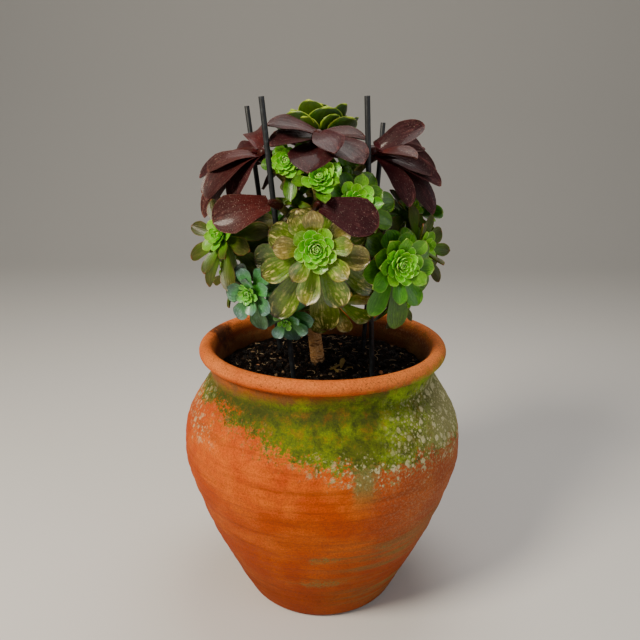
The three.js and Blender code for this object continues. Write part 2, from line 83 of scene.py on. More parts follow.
def spline(points: Sequence[tuple], share: float) -> tuple:
    """Finds a point on the smooth curve through some points.

    Args:
        points: The points that the curve passes through, evenly spread over its length.
        share: 0 at the first point and 1 at the last one.

    Returns:
        The point, with as many numbers as the given ones.
    """
    last = len(points) - 1
    at = min(share * last, last - 1e-6)
    i = int(at)
    t = at - i
    around = [points[min(last, max(0, k))] for k in (i - 1, i, i + 1, i + 2)]
    curve = []
    for before, start, end, after in zip(*around):
        leave = (end - before) / 2
        arrive = (after - start) / 2
        cubic = 2 * start - 2 * end + leave + arrive
        square = 3 * end - 3 * start - 2 * leave - arrive
        curve.append(((cubic * t + square) * t + leave) * t + start)
    return tuple(curve)


def seeded_numbers(seed: int) -> Callable[[], float]:
    """Gives the same run of numbers for the same seed.

    Args:
        seed: The whole number that the run starts from.

    Returns:
        A function that gives the next number from 0 to 1 each time.
    """
    state = [seed % 4294967296]

    def draw() -> float:
        """Gives the next number."""
        state[0] = (state[0] * 1664525 + 1013904223) % 4294967296
        return state[0] / 4294967296

    return draw


def spun(bm: bmesh.types.BMesh, profile: Sequence[tuple], steps: int, closed: bool = False) -> list:
    """Turns a profile once round Z, as clay on a wheel.

    Args:
        bm: The mesh that takes the new skin.
        profile: Points of radius and height.
        steps: How many flats there are in the turn.
        closed: Whether the profile's last point joins its first one.

    Returns:
        The new vertices.
    """
    old = set(bm.verts)
    ring = [bm.verts.new((r, 0, z)) for r, z in profile]
    pairs = list(zip(ring, ring[1:]))
    if closed:
        pairs.append((ring[-1], ring[0]))
    edges = [bm.edges.new(pair) for pair in pairs]
    bmesh.ops.spin(
        bm, geom=ring + edges, cent=(0, 0, 0), axis=UP, angle=math.tau, steps=steps, use_merge=True
    )
    bmesh.ops.remove_doubles(bm, verts=[v for v in bm.verts if v not in old], dist=1e-4)
    return [v for v in bm.verts if v not in old]


def finish_piece(
    bm: bmesh.types.BMesh,
    name: str,
    materials: Sequence[bpy.types.Material],
    nodes: Sequence[str] = (),
    sharp: float = 45,
) -> bpy.types.Object:
    """Makes an object of a mesh in millimetres and ties it to the frame.

    Args:
        bm: The mesh, which is used up.
        name: The piece's name.
        materials: Its materials, in the order of its faces' material numbers.
        nodes: The solids that the piece stands for.
        sharp: The angle in degrees from which an edge stays crisp.

    Returns:
        The object.
    """
    bmesh.ops.recalc_face_normals(bm, faces=bm.faces)
    bmesh.ops.scale(bm, vec=(MM, MM, MM), verts=bm.verts)
    mesh = bpy.data.meshes.new(name)
    bm.to_mesh(mesh)
    bm.free()
    mesh.shade_smooth()
    mesh.set_sharp_from_angle(angle=math.radians(sharp))
    piece = bpy.data.objects.new(name, mesh)
    bpy.context.scene.collection.objects.link(piece)
    for material in materials:
        mesh.materials.append(material)
    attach(piece, BODY)
    if nodes:
        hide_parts(*nodes)
    LOG.info("%s: %d faces", name, len(mesh.polygons))
    return piece


# Finishes


class Finish:
    """A node material under construction."""

    def __init__(self, name: str) -> None:
        """Starts an empty material."""
        self.material = bpy.data.materials.new(name)
        self.material.use_nodes = True
        self.tree = self.material.node_tree
        self.tree.nodes.clear()

    def add(self, kind: str, links: Optional[dict] = None, **settings: object) -> bpy.types.Node:
        """Adds a node.

        Args:
            kind: The node's type, without its common beginning.
            links: For each input, a number or colour, or the node or socket that feeds it.
            settings: The node's own settings.

        Returns:
            The node.
        """
        node = self.tree.nodes.new("ShaderNode" + kind)
        for key, value in settings.items():
            setattr(node, key, value)
        for key, value in (links or {}).items():
            if isinstance(value, bpy.types.Node):
                value = value.outputs[0]
            if isinstance(value, bpy.types.NodeSocket):
                self.tree.links.new(value, node.inputs[key])
            else:
                node.inputs[key].default_value = value
        return node

    def layers(self, base: Link, coats: Iterable[tuple]) -> bpy.types.NodeSocket:
        """Lays colours over each other.

        Args:
            base: The lowest colour.
            coats: Pairs of a mask from 0 to 1 and the hex colour or socket that shows where it is 1.

        Returns:
            The resulting colour.
        """
        colour = base
        for mask, coat in coats:
            top = linear(coat) if isinstance(coat, str) else coat
            colour = self.add("Mix", {0: mask, 6: colour, 7: top}, data_type="RGBA").outputs[2]
        return colour

    def where_all(self, *masks: Link) -> Link:
        """Marks where all of some masks are on.

        Args:
            masks: The masks, or plain weights from 0 to 1.

        Returns:
            Their product.
        """
        meeting = masks[0]
        for mask in masks[1:]:
            meeting = self.add("Math", {0: meeting, 1: mask}, operation="MULTIPLY")
        return meeting

    def stirred(self, value: Link, *doses: tuple) -> Link:
        """Stirs patterns into a value.

        Args:
            value: What they are added to.
            doses: Pairs of a pattern and its weight.

        Returns:
            The sum.
        """
        for pattern, weight in doses:
            value = self.add("Math", {0: pattern, 1: weight, 2: value}, operation="MULTIPLY_ADD")
        return value

    def skin(self, colour: Link, rough: Link, bump: Link, **sockets: object) -> bpy.types.Material:
        """Ends the material in its surface shader.

        Args:
            colour: The surface's colour.
            rough: Its roughness.
            bump: The node whose normal it takes.
            sockets: Plain values for the shader's other inputs.

        Returns:
            The finished material.
        """
        links = {"Base Color": colour, "Roughness": rough, "Normal": bump}
        links.update({key.replace("_", " "): value for key, value in sockets.items()})
        shader = self.add("BsdfPrincipled", links)
        self.add("OutputMaterial", {"Surface": shader})
        return self.material


@dataclass(frozen=True)
class LeafFinish:
    """Living aeonium leaf, grown with a waxy cuticle that gives it a soft gloss over deep colour."""

    name: str
    root: str
    blade: str
    tip: str
    edge: str
    heart: str
    heart_edge: str
    underside: str
    fleck: str
    collar: Optional[str] = None
    flecks: float = 0.3
    tip_from: float = 0.6
    edge_width: float = 0.14
    rough: float = 0.38
    coat: float = 0.2
    glow: float = 0.12
    old_shade: float = 0.72
    ribs: float = 0.05
    shine: float = 0.5
    dust: float = 0.0
    polish: float = 0.2
    dust_colour: str = "#b8a894"


class LeafSurface(Finish):
    """A leaf's material under construction, with the marks and noises that it is mixed from."""

    def __init__(self, look: LeafFinish) -> None:
        """Draws the patterns.

        Args:
            look: The leaf's colours and gloss.
        """
        super().__init__(look.name)
        self.look = look
        place = self.add("TexCoord").outputs["Object"]
        marks = [self.add("Attribute", attribute_name=key).outputs["Fac"] for key in LEAF_MARKS]
        self.along, self.across, self.youth, self.tone, self.back = marks
        # Cells 5 mm wide make soft clouds of colour, and grains under 1 mm fine mottling and dust.
        self.clouds = self.add("TexNoise", {"Vector": place, "Scale": 190, "Detail": 3, "Roughness": 0.6})
        self.grain = self.add("TexNoise", {"Vector": place, "Scale": 1100, "Detail": 2, "Roughness": 0.7})
        # Gold streaks run along the blade, 1 to 3 mm wide, in patches that differ from leaf to leaf.
        spread = ((self.across, 7.0), (self.along, 6.0), (self.tone, 40.0))
        blade = [self.where_all(mark, cells) for mark, cells in spread]
        blade = self.add("CombineXYZ", dict(enumerate(blade)))
        self.streaks = self.add("TexNoise", {"Vector": blade, "Scale": 1.0, "Detail": 4, "Roughness": 0.6})
        # Long veins run from the stalk to the tip, about 5 mm apart where a big leaf is widest.
        wave = self.stirred(self.where_all(self.across, 22.0), (self.clouds, 5.0))
        self.vein = self.add("Math", {0: wave}, operation="SINE")
        # Each leaf has its own chance, from 0 to 1, of being bronzed.
        self.chance = self.add("Math", {0: self.where_all(self.tone, 7.31)}, operation="FRACT")
        self.young = self.add("MapRange", {0: self.youth, 1: 0.5, 2: 0.62}, **SMOOTH)
        self.old = self.add("Math", {0: 1.0, 1: self.young}, operation="SUBTRACT")

    def speckled(self) -> Link:
        """Marks the gold streaks, which crowd near the tips of the old leaves."""
        speck = self.add("MapRange", {0: self.streaks, 1: 0.5, 2: 0.6})
        patch = self.add("MapRange", {0: self.clouds, 1: 0.42, 2: 0.6})
        near_tip = self.add("MapRange", {0: self.along, 1: self.look.tip_from - 0.1, 2: 0.95})
        return self.where_all(speck, patch, near_tip, self.look.flecks, self.old)

    def rim(self) -> Link:
        """Marks the thin rim, which lets light through and so shows as a line round the blade.

        Returns:
            The mask, wider on young leaves.
        """
        inner = self.add("MapRange", {0: self.young, 3: 1 - self.look.edge_width, 4: 0.74})
        out = self.add("Math", {0: self.across}, operation="ABSOLUTE")
        side = self.add("MapRange", {0: out, 1: inner, 2: 1.0}, **SMOOTH)
        end = self.add("MapRange", {0: self.along, 1: 0.955, 2: 0.995}, **SMOOTH)
        rim = self.add("Math", {0: side, 1: end}, operation="MAXIMUM")
        past_root = self.add("MapRange", {0: self.along, 1: 0.25, 2: 0.5})
        return self.where_all(rim, past_root)

    def colour(self) -> Link:
        """Lays the blade's colours over each other, from the root to the rim.

        Returns:
            The colour before it is shaded.
        """
        look = self.look
        # Some leaves stay green nearly to the tip, and others are bronzed from the middle.
        reach = self.stirred(self.along, (self.clouds, 0.35), (self.chance, 0.36))
        to_blade = self.add("MapRange", {0: reach, 1: 0.45, 2: 0.97}, **SMOOTH)
        to_tip = self.add("MapRange", {0: reach, 1: look.tip_from + 0.35, 2: 1.35}, **SMOOTH)
        # The leaves next to the heart are the ones that the sun has bronzed.
        tanned = self.add("MapRange", {0: self.youth, 1: 0.2, 2: 0.42}, **SMOOTH)
        dusty = self.add("MapRange", {0: self.grain, 1: 0.64, 2: 0.72, 3: 0.0, 4: look.dust})
        line = self.layers(linear(look.edge), [(self.young, look.heart_edge)])
        return self.layers(
            linear(look.root),
            [
                (to_blade, look.blade), (to_tip, look.tip),
                (self.where_all(tanned, to_tip), look.collar or look.tip),
                (self.speckled(), look.fleck), (self.young, look.heart),
                (self.where_all(self.back, self.old), look.underside),
                (self.rim(), line), (dusty, look.dust_colour),
            ],
        )

    def shade(self) -> Link:
        """Works out how light the colour is at each place, with painted shade near the root and on old
        leaves.

        Returns:
            The share of the colour's own lightness.
        """
        tone = self.add("MapRange", {0: self.tone, 1: 0.0, 2: 1.0, 3: 0.8, 4: 1.18})
        # Old leaves are darker, partly in their own colour and partly as painted shade.
        old_and_shaded = self.add("MapRange", {0: self.youth, 1: 0.0, 2: 0.5, 3: self.look.old_shade, 4: 1.05})
        # Painted shade darkens each leaf near its root, where it sinks between its neighbours.
        painted_shade_near_root = self.add("MapRange", {0: self.along, 1: 0.1, 2: 0.6, 3: 0.66, 4: 1.04})
        ribbed = self.where_all(self.vein, self.old)
        shade = self.stirred(
            self.where_all(tone, old_and_shaded, painted_shade_near_root),
            (ribbed, self.look.ribs), (self.streaks, 0.8), (self.clouds, 0.8), (self.grain, 0.3),
        )
        # The three noises lie round 0.5, so what they add to the lightness is taken off again.
        return self.add("Math", {0: shade, 1: -0.95}, operation="ADD")

    def make(self) -> bpy.types.Material:
        """Ends the material.

        Returns:
            The material, which reads each leaf's own attributes.
        """
        look = self.look
        hue = self.add("MapRange", {0: self.chance, 3: 0.512, 4: 0.49})
        body = self.add("HueSaturation", {"Hue": hue, "Value": self.shade(), "Color": self.colour()})
        spread = {0: self.clouds, 1: 0.3, 2: 0.7, 3: look.rough - 0.07, 4: look.rough + 0.1}
        relief = self.stirred(self.grain, (self.vein, 0.3), (self.streaks, 2.0))
        return self.skin(
            body,
            self.add("MapRange", spread),
            self.add("Bump", {"Height": relief, "Strength": 0.3, "Distance": 0.0005}),
            Coat_Weight=look.coat,
            Coat_Roughness=look.polish,
            IOR=1.42,
            Specular_IOR_Level=look.shine,
            Subsurface_Weight=look.glow,
            Subsurface_Scale=0.004,
            Subsurface_Radius=(0.5, 1.0, 0.2),
        )


BRONZE_LEAF = LeafFinish(
    "bronze_leaf_waxed", root="#88b408", blade="#668408", tip="#545a0c", edge="#46280e", heart="#74c810",
    heart_edge="#dcf090", underside="#444e14", fleck="#f0dc8c", collar="#8e8030", flecks=0.85,
    tip_from=0.55, edge_width=0.06, rough=0.28, coat=0.55, ribs=0.07,
)
GREEN_LEAF = LeafFinish(
    "green_leaf_waxed", root="#5ca806", blade="#4c8c08", tip="#54920c", edge="#7a9434", heart="#7ed410",
    heart_edge="#c8f07c", underside="#3c7a0c", fleck="#a8d050", flecks=0.25, edge_width=0.06, rough=0.34,
    coat=0.22, old_shade=0.55,
)
MINT_LEAF = LeafFinish(
    "mint_leaf_bloomed", root="#4f9c1c", blade="#4c8e50", tip="#5c8076", edge="#2c4434", heart="#72c430",
    heart_edge="#b4e08a", underside="#3e6a38", fleck="#b4d8c8", flecks=0.35, edge_width=0.08, rough=0.38,
    coat=0.3,
)
OLIVE_LEAF = LeafFinish(
    "olive_leaf_waxed", root="#5c8c10", blade="#486010", tip="#3e4010", edge="#6a3c1c", heart="#74bc18",
    heart_edge="#b8dc68", underside="#3c480e", fleck="#84804c", flecks=0.2, tip_from=0.45, edge_width=0.09,
    coat=0.1, rough=0.42, old_shade=0.75, shine=0.3,
)
CUP_LEAF = LeafFinish(
    "dark_green_leaf_rimmed", root="#405e0a", blade="#2c3e06", tip="#283806", edge="#a8bc34",
    heart="#344e08", heart_edge="#a0c034", underside="#2e4406", fleck="#5c7030", edge_width=0.1,
    old_shade=0.95, coat=0.12, shine=0.3,
)
PURPLE_LEAF = LeafFinish(
    "purple_leaf_polished", root="#4c1416", blade="#3c1b1c", tip="#351819", edge="#5c3430",
    heart="#3c5a0e", heart_edge="#7c8a3c", underside="#401416", fleck="#8c5c54", flecks=0.25, rough=0.44,
    coat=0.14, glow=0.02, edge_width=0.05, old_shade=1.0, ribs=0.03, shine=0.14, dust=0.6,
    polish=0.12,
)


@dataclass(frozen=True)
class TerracottaFinish:
    """Earthenware thrown on a wheel and fired unglazed, weathered outdoors with algae and lichen."""

    name: str = "terracotta_thrown_weathered"
    clay: str = "#c04a06"
    pale_clay: str = "#e06c14"
    dark_clay: str = "#702c04"
    dust: str = "#7c5228"
    # The lip's top is paler, partly from dust and partly as painted light.
    lip_dust_and_light: str = "#e07c38"
    algae: str = "#566010"
    fresh_algae: str = "#88a414"
    dark_algae: str = "#30360c"
    lichen: str = "#c9c294"
    grey_lichen: str = "#938e5c"
    bloom: str = "#b0845c"
    drip: str = "#74743c"
    speck: str = "#24140a"
    smears: Sequence[tuple] = (
        (0.003, 0.1, 0.02, 0.007), (0.001, 0.062, 0.03, 0.008), (0.06, 0.108, 0.012, 0.005),
    )
    stain: tuple = (-0.108, 0.03, 0.276)


class JarSurface(Finish):
    """The jar's material under construction, with the places and noises that it is mixed from."""

    noises: Sequence[tuple] = (
        ("clouds", 28, 5, 0.62), ("ragged", 95, 6, 0.72), ("fine", 420, 4, 0.7), ("grain", 620, 4, 0.8),
    )

    def __init__(self, look: TerracottaFinish) -> None:
        """Draws the patterns.

        Args:
            look: The colours of the clay and of what has grown on it.
        """
        super().__init__(look.name)
        self.look = look
        self.place = self.add("TexCoord").outputs["Object"]
        axes = self.add("SeparateXYZ", {0: self.place})
        self.x, self.z = axes.outputs["X"], axes.outputs["Z"]
        # Throwing leaves level rings 3 to 12 mm apart, so this noise is flattened along the height.
        flat = self.add("Mapping", {"Vector": self.place, "Scale": (9, 9, 150)})
        self.rings = self.add("TexNoise", {"Vector": flat, "Scale": 1.0, "Detail": 5, "Roughness": 0.6})
        # The clay's sand is 0.3 mm, drawn as grains of 1 to 2 mm so that they show.
        drawn = {}
        for name, scale, detail, rough in self.noises:
            links = {"Vector": self.place, "Scale": scale, "Detail": detail, "Roughness": rough}
            drawn[name] = self.add("TexNoise", links)
        self.clouds, self.ragged, self.fine, self.grain = drawn.values()
        level = self.add("VectorMath", {0: self.place, 1: (1, 1, 0)}, operation="MULTIPLY")
        radius = self.add("VectorMath", {0: level}, operation="LENGTH").outputs["Value"]
        inner = self.add("MapRange", {0: radius, 1: 0.1115, 2: 0.1095})
        self.within = self.where_all(inner, self.add("MapRange", {0: self.z, 1: 0.235, 2: 0.24}))
        self.without = self.add("Math", {0: 1.0, 1: self.within}, operation="SUBTRACT")
        # The growth's lower edge is ragged, and lowest to the right.
        lean = self.add("MapRange", {0: self.x, 1: -0.1, 2: 0.03, 3: -0.018, 4: 0.012})
        leaning = self.add("Math", {0: self.z, 1: lean}, operation="ADD")
        ragged = ((self.clouds, 0.035), (self.ragged, 0.055), (self.fine, 0.055))
        self.edge = self.stirred(leaning, *ragged)
        height = self.stirred(self.z, (self.clouds, 0.05))
        self.shoulder = self.band(height, (0.218, 0.234, 0.262, 0.284))

    def band(self, value: Link, edges: Sequence[float]) -> Link:
        """Masks a band.

        Args:
            value: What the band's edges are measured on.
            edges: Where it starts and ends fading in, and where it starts and ends fading out.

        Returns:
            The mask.
        """
        low_out, low_in, high_in, high_out = edges
        rise = self.add("MapRange", {0: value, 1: low_out, 2: low_in}, **SMOOTH)
        return self.where_all(rise, self.add("MapRange", {0: value, 1: high_out, 2: high_in}, **SMOOTH))

    def clay(self) -> Link:
        """Mixes the fired clay, paler in clouds, darker low down and inside, and with painted shade on the
        right.

        Returns:
            The bare clay's colour.
        """
        look = self.look
        pale = self.add("MapRange", {0: self.clouds, 1: 0.42, 2: 0.66, 3: 0.0, 4: 0.8})
        banded = self.add("MapRange", {0: self.rings, 1: 0.5, 2: 0.66, 3: 0.0, 4: 0.38})
        low = self.add("MapRange", {0: self.z, 1: 0.19, 2: 0.03, 3: 0.0, 4: 0.62})
        # Painted shade darkens the right side, away from the key light.
        painted_shade_right = self.add("MapRange", {0: self.x, 1: 0.0, 2: 0.13, 3: 0.0, 4: 0.5}, **SMOOTH)
        darker = [(mask, look.dark_clay) for mask in (banded, low, painted_shade_right, self.within)]
        return self.layers(linear(look.clay), [(pale, look.pale_clay), *darker])

    def algae(self) -> tuple:
        """Hangs algae from the foot of the neck.

        Returns:
            Where they grow, and their colour.
        """
        look = self.look
        above = self.add("MapRange", {0: self.edge, 1: 0.277, 2: 0.288}, **SMOOTH)
        top = self.stirred(self.z, (self.x, -0.1), (self.ragged, 0.03))
        below = self.add("MapRange", {0: top, 1: 0.28, 2: 0.266}, **SMOOTH)
        thin = self.add("MapRange", {0: self.ragged, 1: 0.36, 2: 0.5, 3: 0.78, 4: 1.0})
        fresh = self.add("MapRange", {0: self.clouds, 1: 0.44, 2: 0.6})
        sunny = self.add("MapRange", {0: self.x, 1: -0.03, 2: 0.05, 3: 0.25, 4: 1.0})
        dark = self.add("MapRange", {0: self.ragged, 1: 0.5, 2: 0.66, 3: 0.0, 4: 0.8})
        crease = self.where_all(self.band(self.z, (0.228, 0.24, 0.243, 0.25)), 0.6)
        colour = self.layers(
            linear(look.algae),
            [
                (self.where_all(fresh, sunny), look.fresh_algae),
                (dark, look.dark_algae), (crease, look.dark_algae),
            ],
        )
        return self.where_all(above, below, self.without, thin), colour

    def spots(self) -> Link:
        """Draws the round spots of lichen, half a millimetre to 8 mm wide, with frayed edges.

        Returns:
            The mask, before it is narrowed to where lichen grows.
        """
        fraying = {0: 0.006, 4: self.place, 5: self.ragged.outputs["Color"]}
        frayed = self.add("Mix", fraying, data_type="VECTOR").outputs[1]
        spot = 0.0
        for scale, widest in ((135, 0.55), (320, 0.5)):
            cells = self.add("TexVoronoi", {"Vector": frayed, "Scale": scale, "Randomness": 1.0})
            size = self.add("SeparateColor", {0: cells.outputs["Color"]}).outputs["Red"]
            span = self.add("MapRange", {0: size, 3: 0.08, 4: widest})
            disc = self.add("Math", {0: span, 1: cells.outputs["Distance"]}, operation="SUBTRACT")
            disc = self.add("MapRange", {0: disc, 1: 0.0, 2: 0.1})
            spot = self.add("Math", {0: disc, 1: spot}, operation="MAXIMUM")
        return spot

    def lichen(self) -> tuple:
        """Crowds lichen on the shoulder's sides, and along the lower edge of the algae on the right.

        Returns:
            Where the grey crust, the powder and the pale spots lie.
        """
        right = self.add("MapRange", {0: self.x, 1: 0.045, 2: 0.09}, **SMOOTH)
        left = self.add("MapRange", {0: self.x, 1: -0.095, 2: -0.125, 3: 0.0, 4: 0.7})
        sides = self.add("Math", {0: right, 1: left}, operation="MAXIMUM")
        some = self.add("MapRange", {0: self.clouds, 1: 0.38, 2: 0.52, 3: 0.4, 4: 1.0})
        front = self.add("MapRange", {0: self.x, 1: -0.03, 2: 0.05, 3: 0.08, 4: 0.9})
        rim = self.where_all(self.band(self.edge, (0.27, 0.278, 0.284, 0.294)), front)
        beside = self.where_all(sides, self.shoulder, some)
        crowd = self.add("Math", {0: beside, 1: rim}, operation="MAXIMUM")
        crowd = self.where_all(crowd, self.without)
        powder = self.add("MapRange", {0: self.fine, 1: 0.48, 2: 0.6, 3: 0.0, 4: 0.75})
        far = self.add("MapRange", {0: self.x, 1: 0.085, 2: 0.12, 3: 0.0, 4: 0.85}, **SMOOTH)
        spots = self.where_all(self.spots(), crowd)
        return self.where_all(far, self.shoulder), self.where_all(powder, crowd), spots

    def smears(self) -> Link:
        """Marks three short smears of old algae low on the belly, in a thin grey-green film.

        Returns:
            The mask.
        """
        film = self.add("MapRange", {0: self.rings, 1: 0.44, 2: 0.62, 3: 0.0, 4: 0.5})
        film_side = self.add("MapRange", {0: self.x, 1: -0.03, 2: 0.07}, **SMOOTH)
        film_low = self.add("MapRange", {0: self.z, 1: 0.15, 2: 0.09}, **SMOOTH)
        film = self.where_all(film, film_side, film_low)
        smear = 0.0
        for middle, level, half, depth in self.look.smears:
            shifted = self.add("Mapping", {"Vector": self.place, "Location": (-middle, 0, -level)})
            squeezed = self.add("Mapping", {"Vector": shifted, "Scale": (1 / half, 0, 1 / depth)})
            away = self.add("VectorMath", {0: squeezed}, operation="LENGTH").outputs["Value"]
            away = self.stirred(away, (self.ragged, 2.6), (self.rings, -1.2))
            patch = self.add("MapRange", {0: away, 1: 1.75, 2: 1.0})
            smear = self.add("Math", {0: patch, 1: smear}, operation="MAXIMUM")
        broken = self.add("MapRange", {0: self.fine, 1: 0.42, 2: 0.58, 3: 0.15, 4: 0.8})
        return self.add("Math", {0: self.where_all(smear, broken), 1: film}, operation="MAXIMUM")

    def runs(self) -> tuple:
        """Marks the chalk bloomed over the right side, and the grey drip below the growth.

        Returns:
            The masks of the chalk and of the drip.
        """
        wander = self.stirred(self.x, (self.ragged, 0.03))
        side = self.band(wander, (0.038, 0.048, 0.058, 0.07))
        drip = self.where_all(side, self.band(self.z, (0.158, 0.19, 0.215, 0.225)), 0.85)
        chalk = self.add("MapRange", {0: self.x, 1: 0.02, 2: 0.09}, **SMOOTH)
        chalk_low = self.add("MapRange", {0: self.z, 1: 0.04, 2: 0.17}, **SMOOTH)
        grit = self.add("MapRange", {0: self.fine, 1: 0.5, 2: 0.62, 3: 0.15, 4: 0.7})
        return self.where_all(chalk, chalk_low, grit), drip

    def dirt(self) -> tuple:
        """Marks the dust on the neck, the dust and painted light on the lip's top, the dark pits, and the
        old soil stain on the left.

        Returns:
            The masks of the neck's dust, the lip's dust and painted light, the pits and the stain.
        """
        grime = self.add("MapRange", {0: self.ragged, 1: 0.36, 2: 0.6, 3: 0.35, 4: 0.95})
        neck = self.where_all(self.band(self.z, (0.236, 0.247, 0.257, 0.266)), grime)
        # The lip's top is paler and brighter, partly from dust and partly as painted light where it faces
        # up.
        on_lip = self.add("MapRange", {0: self.z, 1: 0.264, 2: 0.272}, **SMOOTH)
        worn = self.add("MapRange", {0: self.clouds, 1: 0.3, 2: 0.6, 3: 0.35, 4: 0.85})
        gap = self.add("VectorMath", {0: self.place, 1: self.look.stain}, operation="DISTANCE")
        gap = self.stirred(gap.outputs["Value"], (self.ragged, 0.06))
        stain = self.add("MapRange", {0: gap, 1: 0.053, 2: 0.04, 3: 0.0, 4: 0.85})
        dots = self.add("MapRange", {0: self.grain, 1: 0.64, 2: 0.72, 3: 0.0, 4: 0.7})
        pits = self.stirred(self.fine, (on_lip, 0.05))
        pits = self.add("MapRange", {0: pits, 1: 0.64, 2: 0.7, 3: 0.0, 4: 0.75})
        dots = self.add("Math", {0: dots, 1: pits}, operation="MAXIMUM")
        return neck, self.where_all(worn, on_lip), dots, stain

    def make(self) -> bpy.types.Material:
        """Ends the material.

        Returns:
            The material, whose growth lies where the real jar carries it.
        """
        look = self.look
        chalk, drip = self.runs()
        neck, worn, dots, stain = self.dirt()
        green, algae = self.algae()
        far, powder, spots = self.lichen()
        colour = self.layers(
            self.clay(),
            [
                (chalk, look.bloom), (neck, look.dust), (worn, look.lip_dust_and_light), (self.smears(), look.drip),
                (drip, look.drip), (dots, look.speck), (stain, look.speck), (green, algae),
                (far, look.grey_lichen), (powder, look.grey_lichen), (spots, look.lichen),
            ],
        )
        shade = self.add("MapRange", {0: self.grain, 1: 0.4, 2: 0.6, 3: 0.74, 4: 1.2})
        colour = self.add("HueSaturation", {"Value": shade, "Color": colour})
        rough = self.add("MapRange", {0: self.grain, 1: 0.3, 2: 0.7, 3: 0.66, 4: 0.9})
        relief = self.stirred(self.grain, (self.rings, 1.5), (spots, 0.9))
        bump = self.add("Bump", {"Height": relief, "Strength": 0.5, "Distance": 0.0013})
        return self.skin(colour, rough, bump, IOR=1.5, Specular_IOR_Level=0.2)


@dataclass(frozen=True)
class CompostFinish:
    """Damp composted bark, milled and sieved, nearly black with paler broken edges."""

    name: str
    dark: str
    light: str
    rough: float = 0.7
    shine: float = 0.25

    def make(self) -> bpy.types.Material:
        """Builds the material.

        Returns:
            The finished material.
        """
        f = Finish(self.name)
        place = f.add("TexCoord").outputs["Object"]
        crumbs = f.add("TexNoise", {"Vector": place, "Scale": 420, "Detail": 5, "Roughness": 0.75})
        patch = f.add("TexNoise", {"Vector": place, "Scale": 150, "Detail": 3})
        mask = f.add("MapRange", {0: crumbs, 1: 0.54, 2: 0.68})
        patch = f.add("MapRange", {0: patch, 1: 0.4, 2: 0.6})
        colour = f.layers(linear(self.dark), [(f.where_all(mask, patch), self.light)])
        rough = f.add("MapRange", {0: crumbs, 1: 0.3, 2: 0.7, 3: self.rough - 0.3, 4: self.rough + 0.2})
        bump = f.add("Bump", {"Height": crumbs, "Strength": 1.0, "Distance": 0.003})
        return f.skin(colour, rough, bump, IOR=1.45, Specular_IOR_Level=self.shine)


@dataclass(frozen=True)
class BarkFinish:
    """Corky young bark, grown smooth between rings of old leaf scars."""

    name: str = "aeonium_bark_scarred"
    bark: str = "#c48a4c"
    pale: str = "#f0c890"
    scar: str = "#6c4220"
    green: str = "#54661c"
    dark_foot: str = "#2c1a0e"

    def make(self) -> bpy.types.Material:
        """Builds the material.

        Returns:
            The finished material.
        """
        f = Finish(self.name)
        place = f.add("TexCoord").outputs["Object"]
        flat = f.add("Mapping", {"Vector": place, "Scale": (90, 90, 420)})
        rings = f.add("TexNoise", {"Vector": flat, "Scale": 1.0, "Detail": 3})
        cork = f.add("TexNoise", {"Vector": place, "Scale": 520, "Detail": 4, "Roughness": 0.7})
        height = f.add("SeparateXYZ", {0: place}).outputs["Z"]
        scars = f.add("MapRange", {0: rings, 1: 0.52, 2: 0.62})
        pale = f.add("MapRange", {0: cork, 1: 0.45, 2: 0.7})
        green = f.add("MapRange", {0: height, 1: 0.3, 2: 0.38, 3: 0.0, 4: 0.8})
        # The lowest few millimetres are darker, with a ragged upper edge.
        foot = f.stirred(height, (cork, 0.02))
        darkened_foot = f.add("MapRange", {0: foot, 1: 0.265, 2: 0.259, 3: 0.0, 4: 0.85})
        coats = [(pale, self.pale), (scars, self.scar), (green, self.green), (darkened_foot, self.dark_foot)]
        colour = f.layers(linear(self.bark), coats)
        relief = f.stirred(cork, (rings, 2.0))
        bump = f.add("Bump", {"Height": relief, "Strength": 0.6, "Distance": 0.0012})
        return f.skin(colour, 0.78, bump, IOR=1.45)


@dataclass(frozen=True)
class CaneFinish:
    """Plastic-sleeved garden cane, extruded in dark slate with faint draw lines and dust."""

    name: str = "cane_sleeve_extruded"
    slate: str = "#15181b"
    worn: str = "#383e44"

    def make(self) -> bpy.types.Material:
        """Builds the material.

        Returns:
            The finished material.
        """
        f = Finish(self.name)
        place = f.add("TexCoord").outputs["Object"]
        drawn = f.add("Mapping", {"Vector": place, "Scale": (1400, 1400, 40)})
        lines = f.add("TexNoise", {"Vector": drawn, "Scale": 1.0, "Detail": 3})
        scuffs = f.add("TexNoise", {"Vector": place, "Scale": 240, "Detail": 4, "Roughness": 0.7})
        worn = f.add("MapRange", {0: scuffs, 1: 0.52, 2: 0.75})
        colour = f.layers(linear(self.slate), [(worn, self.worn)])
        rough = f.add("MapRange", {0: scuffs, 1: 0.3, 2: 0.7, 3: 0.38, 4: 0.6})
        bump = f.add("Bump", {"Height": lines, "Strength": 0.3, "Distance": 0.0004})
        return f.skin(colour, rough, bump, IOR=1.46)


# Jar


